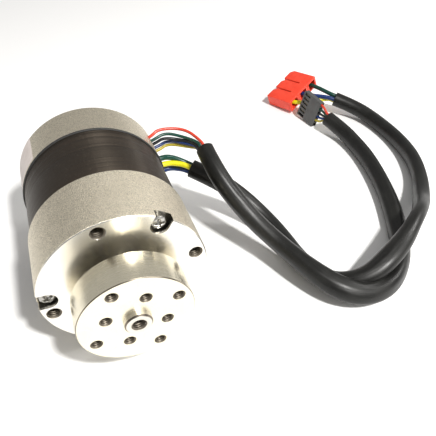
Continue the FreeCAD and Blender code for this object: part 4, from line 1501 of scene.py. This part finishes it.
HALL = Cable(
    "hall", (
        (46, 51.5, 8), (46.6, 41, 4.2), (50.6, 32.5, -2.8), (56.9, 22.2, -11), (64.1, 9.9, -16.6),
        (69.5, -4.4, -17.4), (77, -16.0, -19.5), (88, -19.6, -22.8), (100.5, -16.9, -24.5), (111.5, -6.5, -24.5),
        (120.5, 8.5, -24.5), (128, 24.5, -24.5), (133.5, 41, -24.5), (137, 56.5, -24.5), (138.6, 71, -24.5),
        (138, 83.5, -22.8), (133.6, 93.8, -20)),
    (Wire("red", "red", 0, 25.0, (30.0, 64.2, 14.1), (41.1, 63.1, 12.5), (0.7, 2.4), 2.9, (2.6, 90.0)),
     Wire("green", "green", 1, 21.0, (32.8, 64.1, 11.7), (39.8, 60.6, 10.1), (1.85, 1.6), 3.4, (1.3, 90.0)),
     Wire("black", "black", 2, 17.0, (31.6, 62.8, 10.3), (39.6, 60.4, 8.7), (2.35, 0.45), 3.5, (0.0, 0.0)),
     Wire("blue", "blue", 3, 12.9, (33.7, 65.0, 7.1), (40.9, 58.1, 7.8), (2.4, -0.7), 3.1, (1.3, -90.0)),
     Wire("yellow", "yellow", 4, 8.8, (33.6, 65.0, 5.5), (41.9, 57.9, 6.1), (2.0, -1.8), 3.1, (2.6, -90.0))),
    (Flat(0.0, 0.05, 0.10, 90.0), Flat(0.20, 0.08, 0.06, 60.0), Flat(0.36, 0.06, 0.16, 150.0),
     Flat(0.47, 0.05, 0.16, 95.0), Flat(0.64, 0.08, 0.10, 0.0), Flat(0.86, 0.07, 0.08, 70.0),
     Crease(0.30, 0.16, 0.07, 60.0, 20.0), Crease(0.46, 0.06, 0.10, 130.0, 25.0, 14.0),
     Crease(0.72, 0.14, 0.06, 75.0, -15.0)),
    thickness=1.3, pad=20.0, exit_angle=17.0, station=62.42, lead_in=1.6, twist=1.6)
PHASE = Cable(
    "phase", (
        (41.7, 57.6, -5), (51.1, 49.3, -8.2), (59.3, 42.3, -14.6), (66, 33.8, -21.2), (70, 22.7, -24.5),
        (71.2, 5.2, -24.5), (77, -8.3, -24.2), (88.8, -13.8, -19.6), (102.5, -10, -13.6), (116, -2, -13.3),
        (129.5, 8.5, -17.5), (141, 20, -22), (151, 33, -24.5), (158, 47, -24.5), (162, 62, -24.5),
        (163.3, 77, -24.45), (162.3, 91, -24), (157.6, 102, -22), (147.9, 110.2, -19)),
    (Wire("green", "green", 2, 1.5, (32.1, 62.9, 0.2), (36.0, 63.0, -1.6), (-1.72, 0.30), 3.6, (1.75, 130.0)),
     Wire("yellow", "bright_yellow", 0, -5.3, (33.0, 61.4, -2.2), (37.4, 59.6, -2.7), (1.13, 1.34), 2.4,
          (1.75, 250.0)),
     Wire("blue", "blue", 1, -12.1, (33.0, 63.0, -6.0), (37.7, 61.2, -6.5), (0.60, -1.64), 2.1, (1.75, 10.0))),
    (Flat(0.16, 0.08, 0.10, 100.0), Flat(0.40, 0.05, 0.14, 10.0), Flat(0.525, 0.055, 0.32, 86.0),
     Flat(0.72, 0.10, 0.17, 100.0), Flat(0.92, 0.06, 0.06, 0.0),
     Crease(0.40, 0.07, 0.07, 95.0, 15.0, 16.0), Crease(0.64, 0.16, 0.11, 52.0, 12.0, 16.0),
     Crease(0.88, 0.06, 0.05, 110.0)),
    thickness=2.4, pad=21.0, exit_angle=-5.3, station=61.77, lead_in=4.0, twist=2.2)


@dataclass(frozen=True)
class Harness:
    """Both cables with their plugs."""

    hall: Cable = HALL
    phase: Cable = PHASE
    signal: SignalPlug = SignalPlug()
    power: PowerPlug = PowerPlug()

    def build(self) -> None:
        """Makes both plugs, all wires and both sleeves."""
        grey, red = self.signal.build(), self.power.build()
        thin = [self.hall.lead(wire, self.signal) for wire in self.hall.wires]
        thick = [self.phase.lead(wire, self.power) for wire in self.phase.wires]
        self.hall.cover([*thin, grey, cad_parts["signal_terminals"]])
        self.phase.cover([*thick, red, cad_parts["power_terminals"]])


def stand(name: str, data: bpy.types.ID, place: Point, right: Array, back: Array) -> bpy.types.Object:
    """Adds a light or a camera to the scene.

    Args:
        name: the object's name.
        data: the light or camera.
        place: where it stands.
        right: direction of its X.
        back: direction of its Z, of length one.

    Returns:
        The object.
    """
    right = unit(right)
    columns = np.stack((right, np.cross(back, right), back, np.array(place)), axis=1)
    made = bpy.data.objects.new(name, data)
    made.matrix_world = Matrix(np.vstack((columns, (0.0, 0.0, 0.0, 1.0))).tolist())
    bpy.context.scene.collection.objects.link(made)
    return made


@dataclass(frozen=True)
class Lamp:
    """A square soft light: its place, what it points at, its watts, the length of its side and its tint."""

    name: str
    place: Point
    aim: Point
    power: float
    size: float
    colour: Colour

    def build(self) -> None:
        """Adds the light to the scene."""
        light = bpy.data.lights.new(self.name, "AREA")
        light.energy, light.size, light.color = self.power, self.size, self.colour
        back = unit(np.subtract(self.place, self.aim))
        stand(self.name, light, self.place, np.cross(UP, back), back)


@dataclass(frozen=True)
class Studio:
    """The pale floor, the soft lights and the camera, in metres; the lens and sensor are in millimetres."""

    floor: float = -0.0285
    reach: float = 4.0
    floor_lines: int = 3
    camera: Point = (-0.0080085, -0.106932, 0.1244595)
    top: Point = (0.2406, 0.6365, 0.7327)
    back: Point = (-0.2591, -0.6854, 0.6805)
    lens: float = 40.0
    sensor: float = 36.0
    clip: float = 0.01
    sky: float = 0.42
    sky_colour: Colour = (1.0, 0.99, 0.97)
    lamps: tuple[Lamp, ...] = (
        Lamp("top_light", (0.20, -0.40, 0.64), (0.03, 0.0, -0.02), 7.2, 0.06, (1.0, 0.985, 0.96)),
        Lamp("side_light", (0.65, 0.0, 0.40), (0.05, 0.02, -0.02), 1.5, 0.11, (1.0, 0.985, 0.96)),
        Lamp("front_light", (0.50, -0.55, 0.50), (0.05, 0.0, 0.0), 1.3, 0.45, (1.0, 0.98, 0.95)))

    def lay_floor(self) -> None:
        """Makes the floor as a grid of two parameters at one height."""
        span = np.linspace(-self.reach, self.reach, self.floor_lines)
        x, y = np.meshgrid(span, span, indexing="ij")
        sheet = Surface.grid(np.stack((x, y, np.full_like(x, self.floor)), axis=-1), close_columns=False)
        mesh = bpy.data.meshes.new("studio_floor")
        mesh.from_pydata(sheet.points.tolist(), [], sheet.faces[:, ::-1].tolist())
        mesh.materials.append(StudioPaper("Studio paper").material())
        made = bpy.data.objects.new("studio_floor", mesh)
        bpy.context.scene.collection.objects.link(made)

    def build(self) -> None:
        """Makes the floor, the lights, the sky and the camera."""
        scene = bpy.context.scene
        self.lay_floor()
        for lamp in self.lamps:
            lamp.build()
        scene.world = bpy.data.worlds.new("studio_sky")
        scene.world.use_nodes = True
        sky = scene.world.node_tree.nodes["Background"].inputs
        sky["Color"].default_value, sky["Strength"].default_value = (*self.sky_colour, 1.0), self.sky
        scene.view_settings.view_transform = "Standard"
        lens = bpy.data.cameras.new("photo_camera")
        lens.lens, lens.sensor_width, lens.clip_start = self.lens, self.sensor, self.clip
        back = unit(np.array(self.back))
        scene.camera = stand("photo_camera", lens, self.camera, np.cross(self.top, back), back)


def main() -> None:
    """Builds the studio, then the motor from its solids outwards, and reports each piece."""
    logging.basicConfig(level=logging.INFO, format="%(message)s", stream=sys.stdout)
    Studio().build()
    DressedSolids().dress()
    TieScrews().build()
    SeamBead().build()
    BlankPatch().build()
    TappedHoles("hub_threads", Body.ROTOR, "turned_aluminium", hole_circle(10.0, 69.0) + hole_circle(15.0, 24.0),
                radius=1.65, pitch=0.7, face=-16.0, end=-5.1).build()
    TappedHoles("shaft_thread", Body.ROTOR, "shaft_steel", (np.zeros(3),),
                radius=2.1, pitch=0.8, face=-18.0, end=-6.4).build()
    TappedHoles("mounting_threads", Body.MOTOR, "blasted_aluminium", hole_circle(25.0, 12.3),
                radius=2.1, pitch=0.8, face=0.0, end=9.6).build()
    Harness().build()


if __name__ == "__main__":
    main()
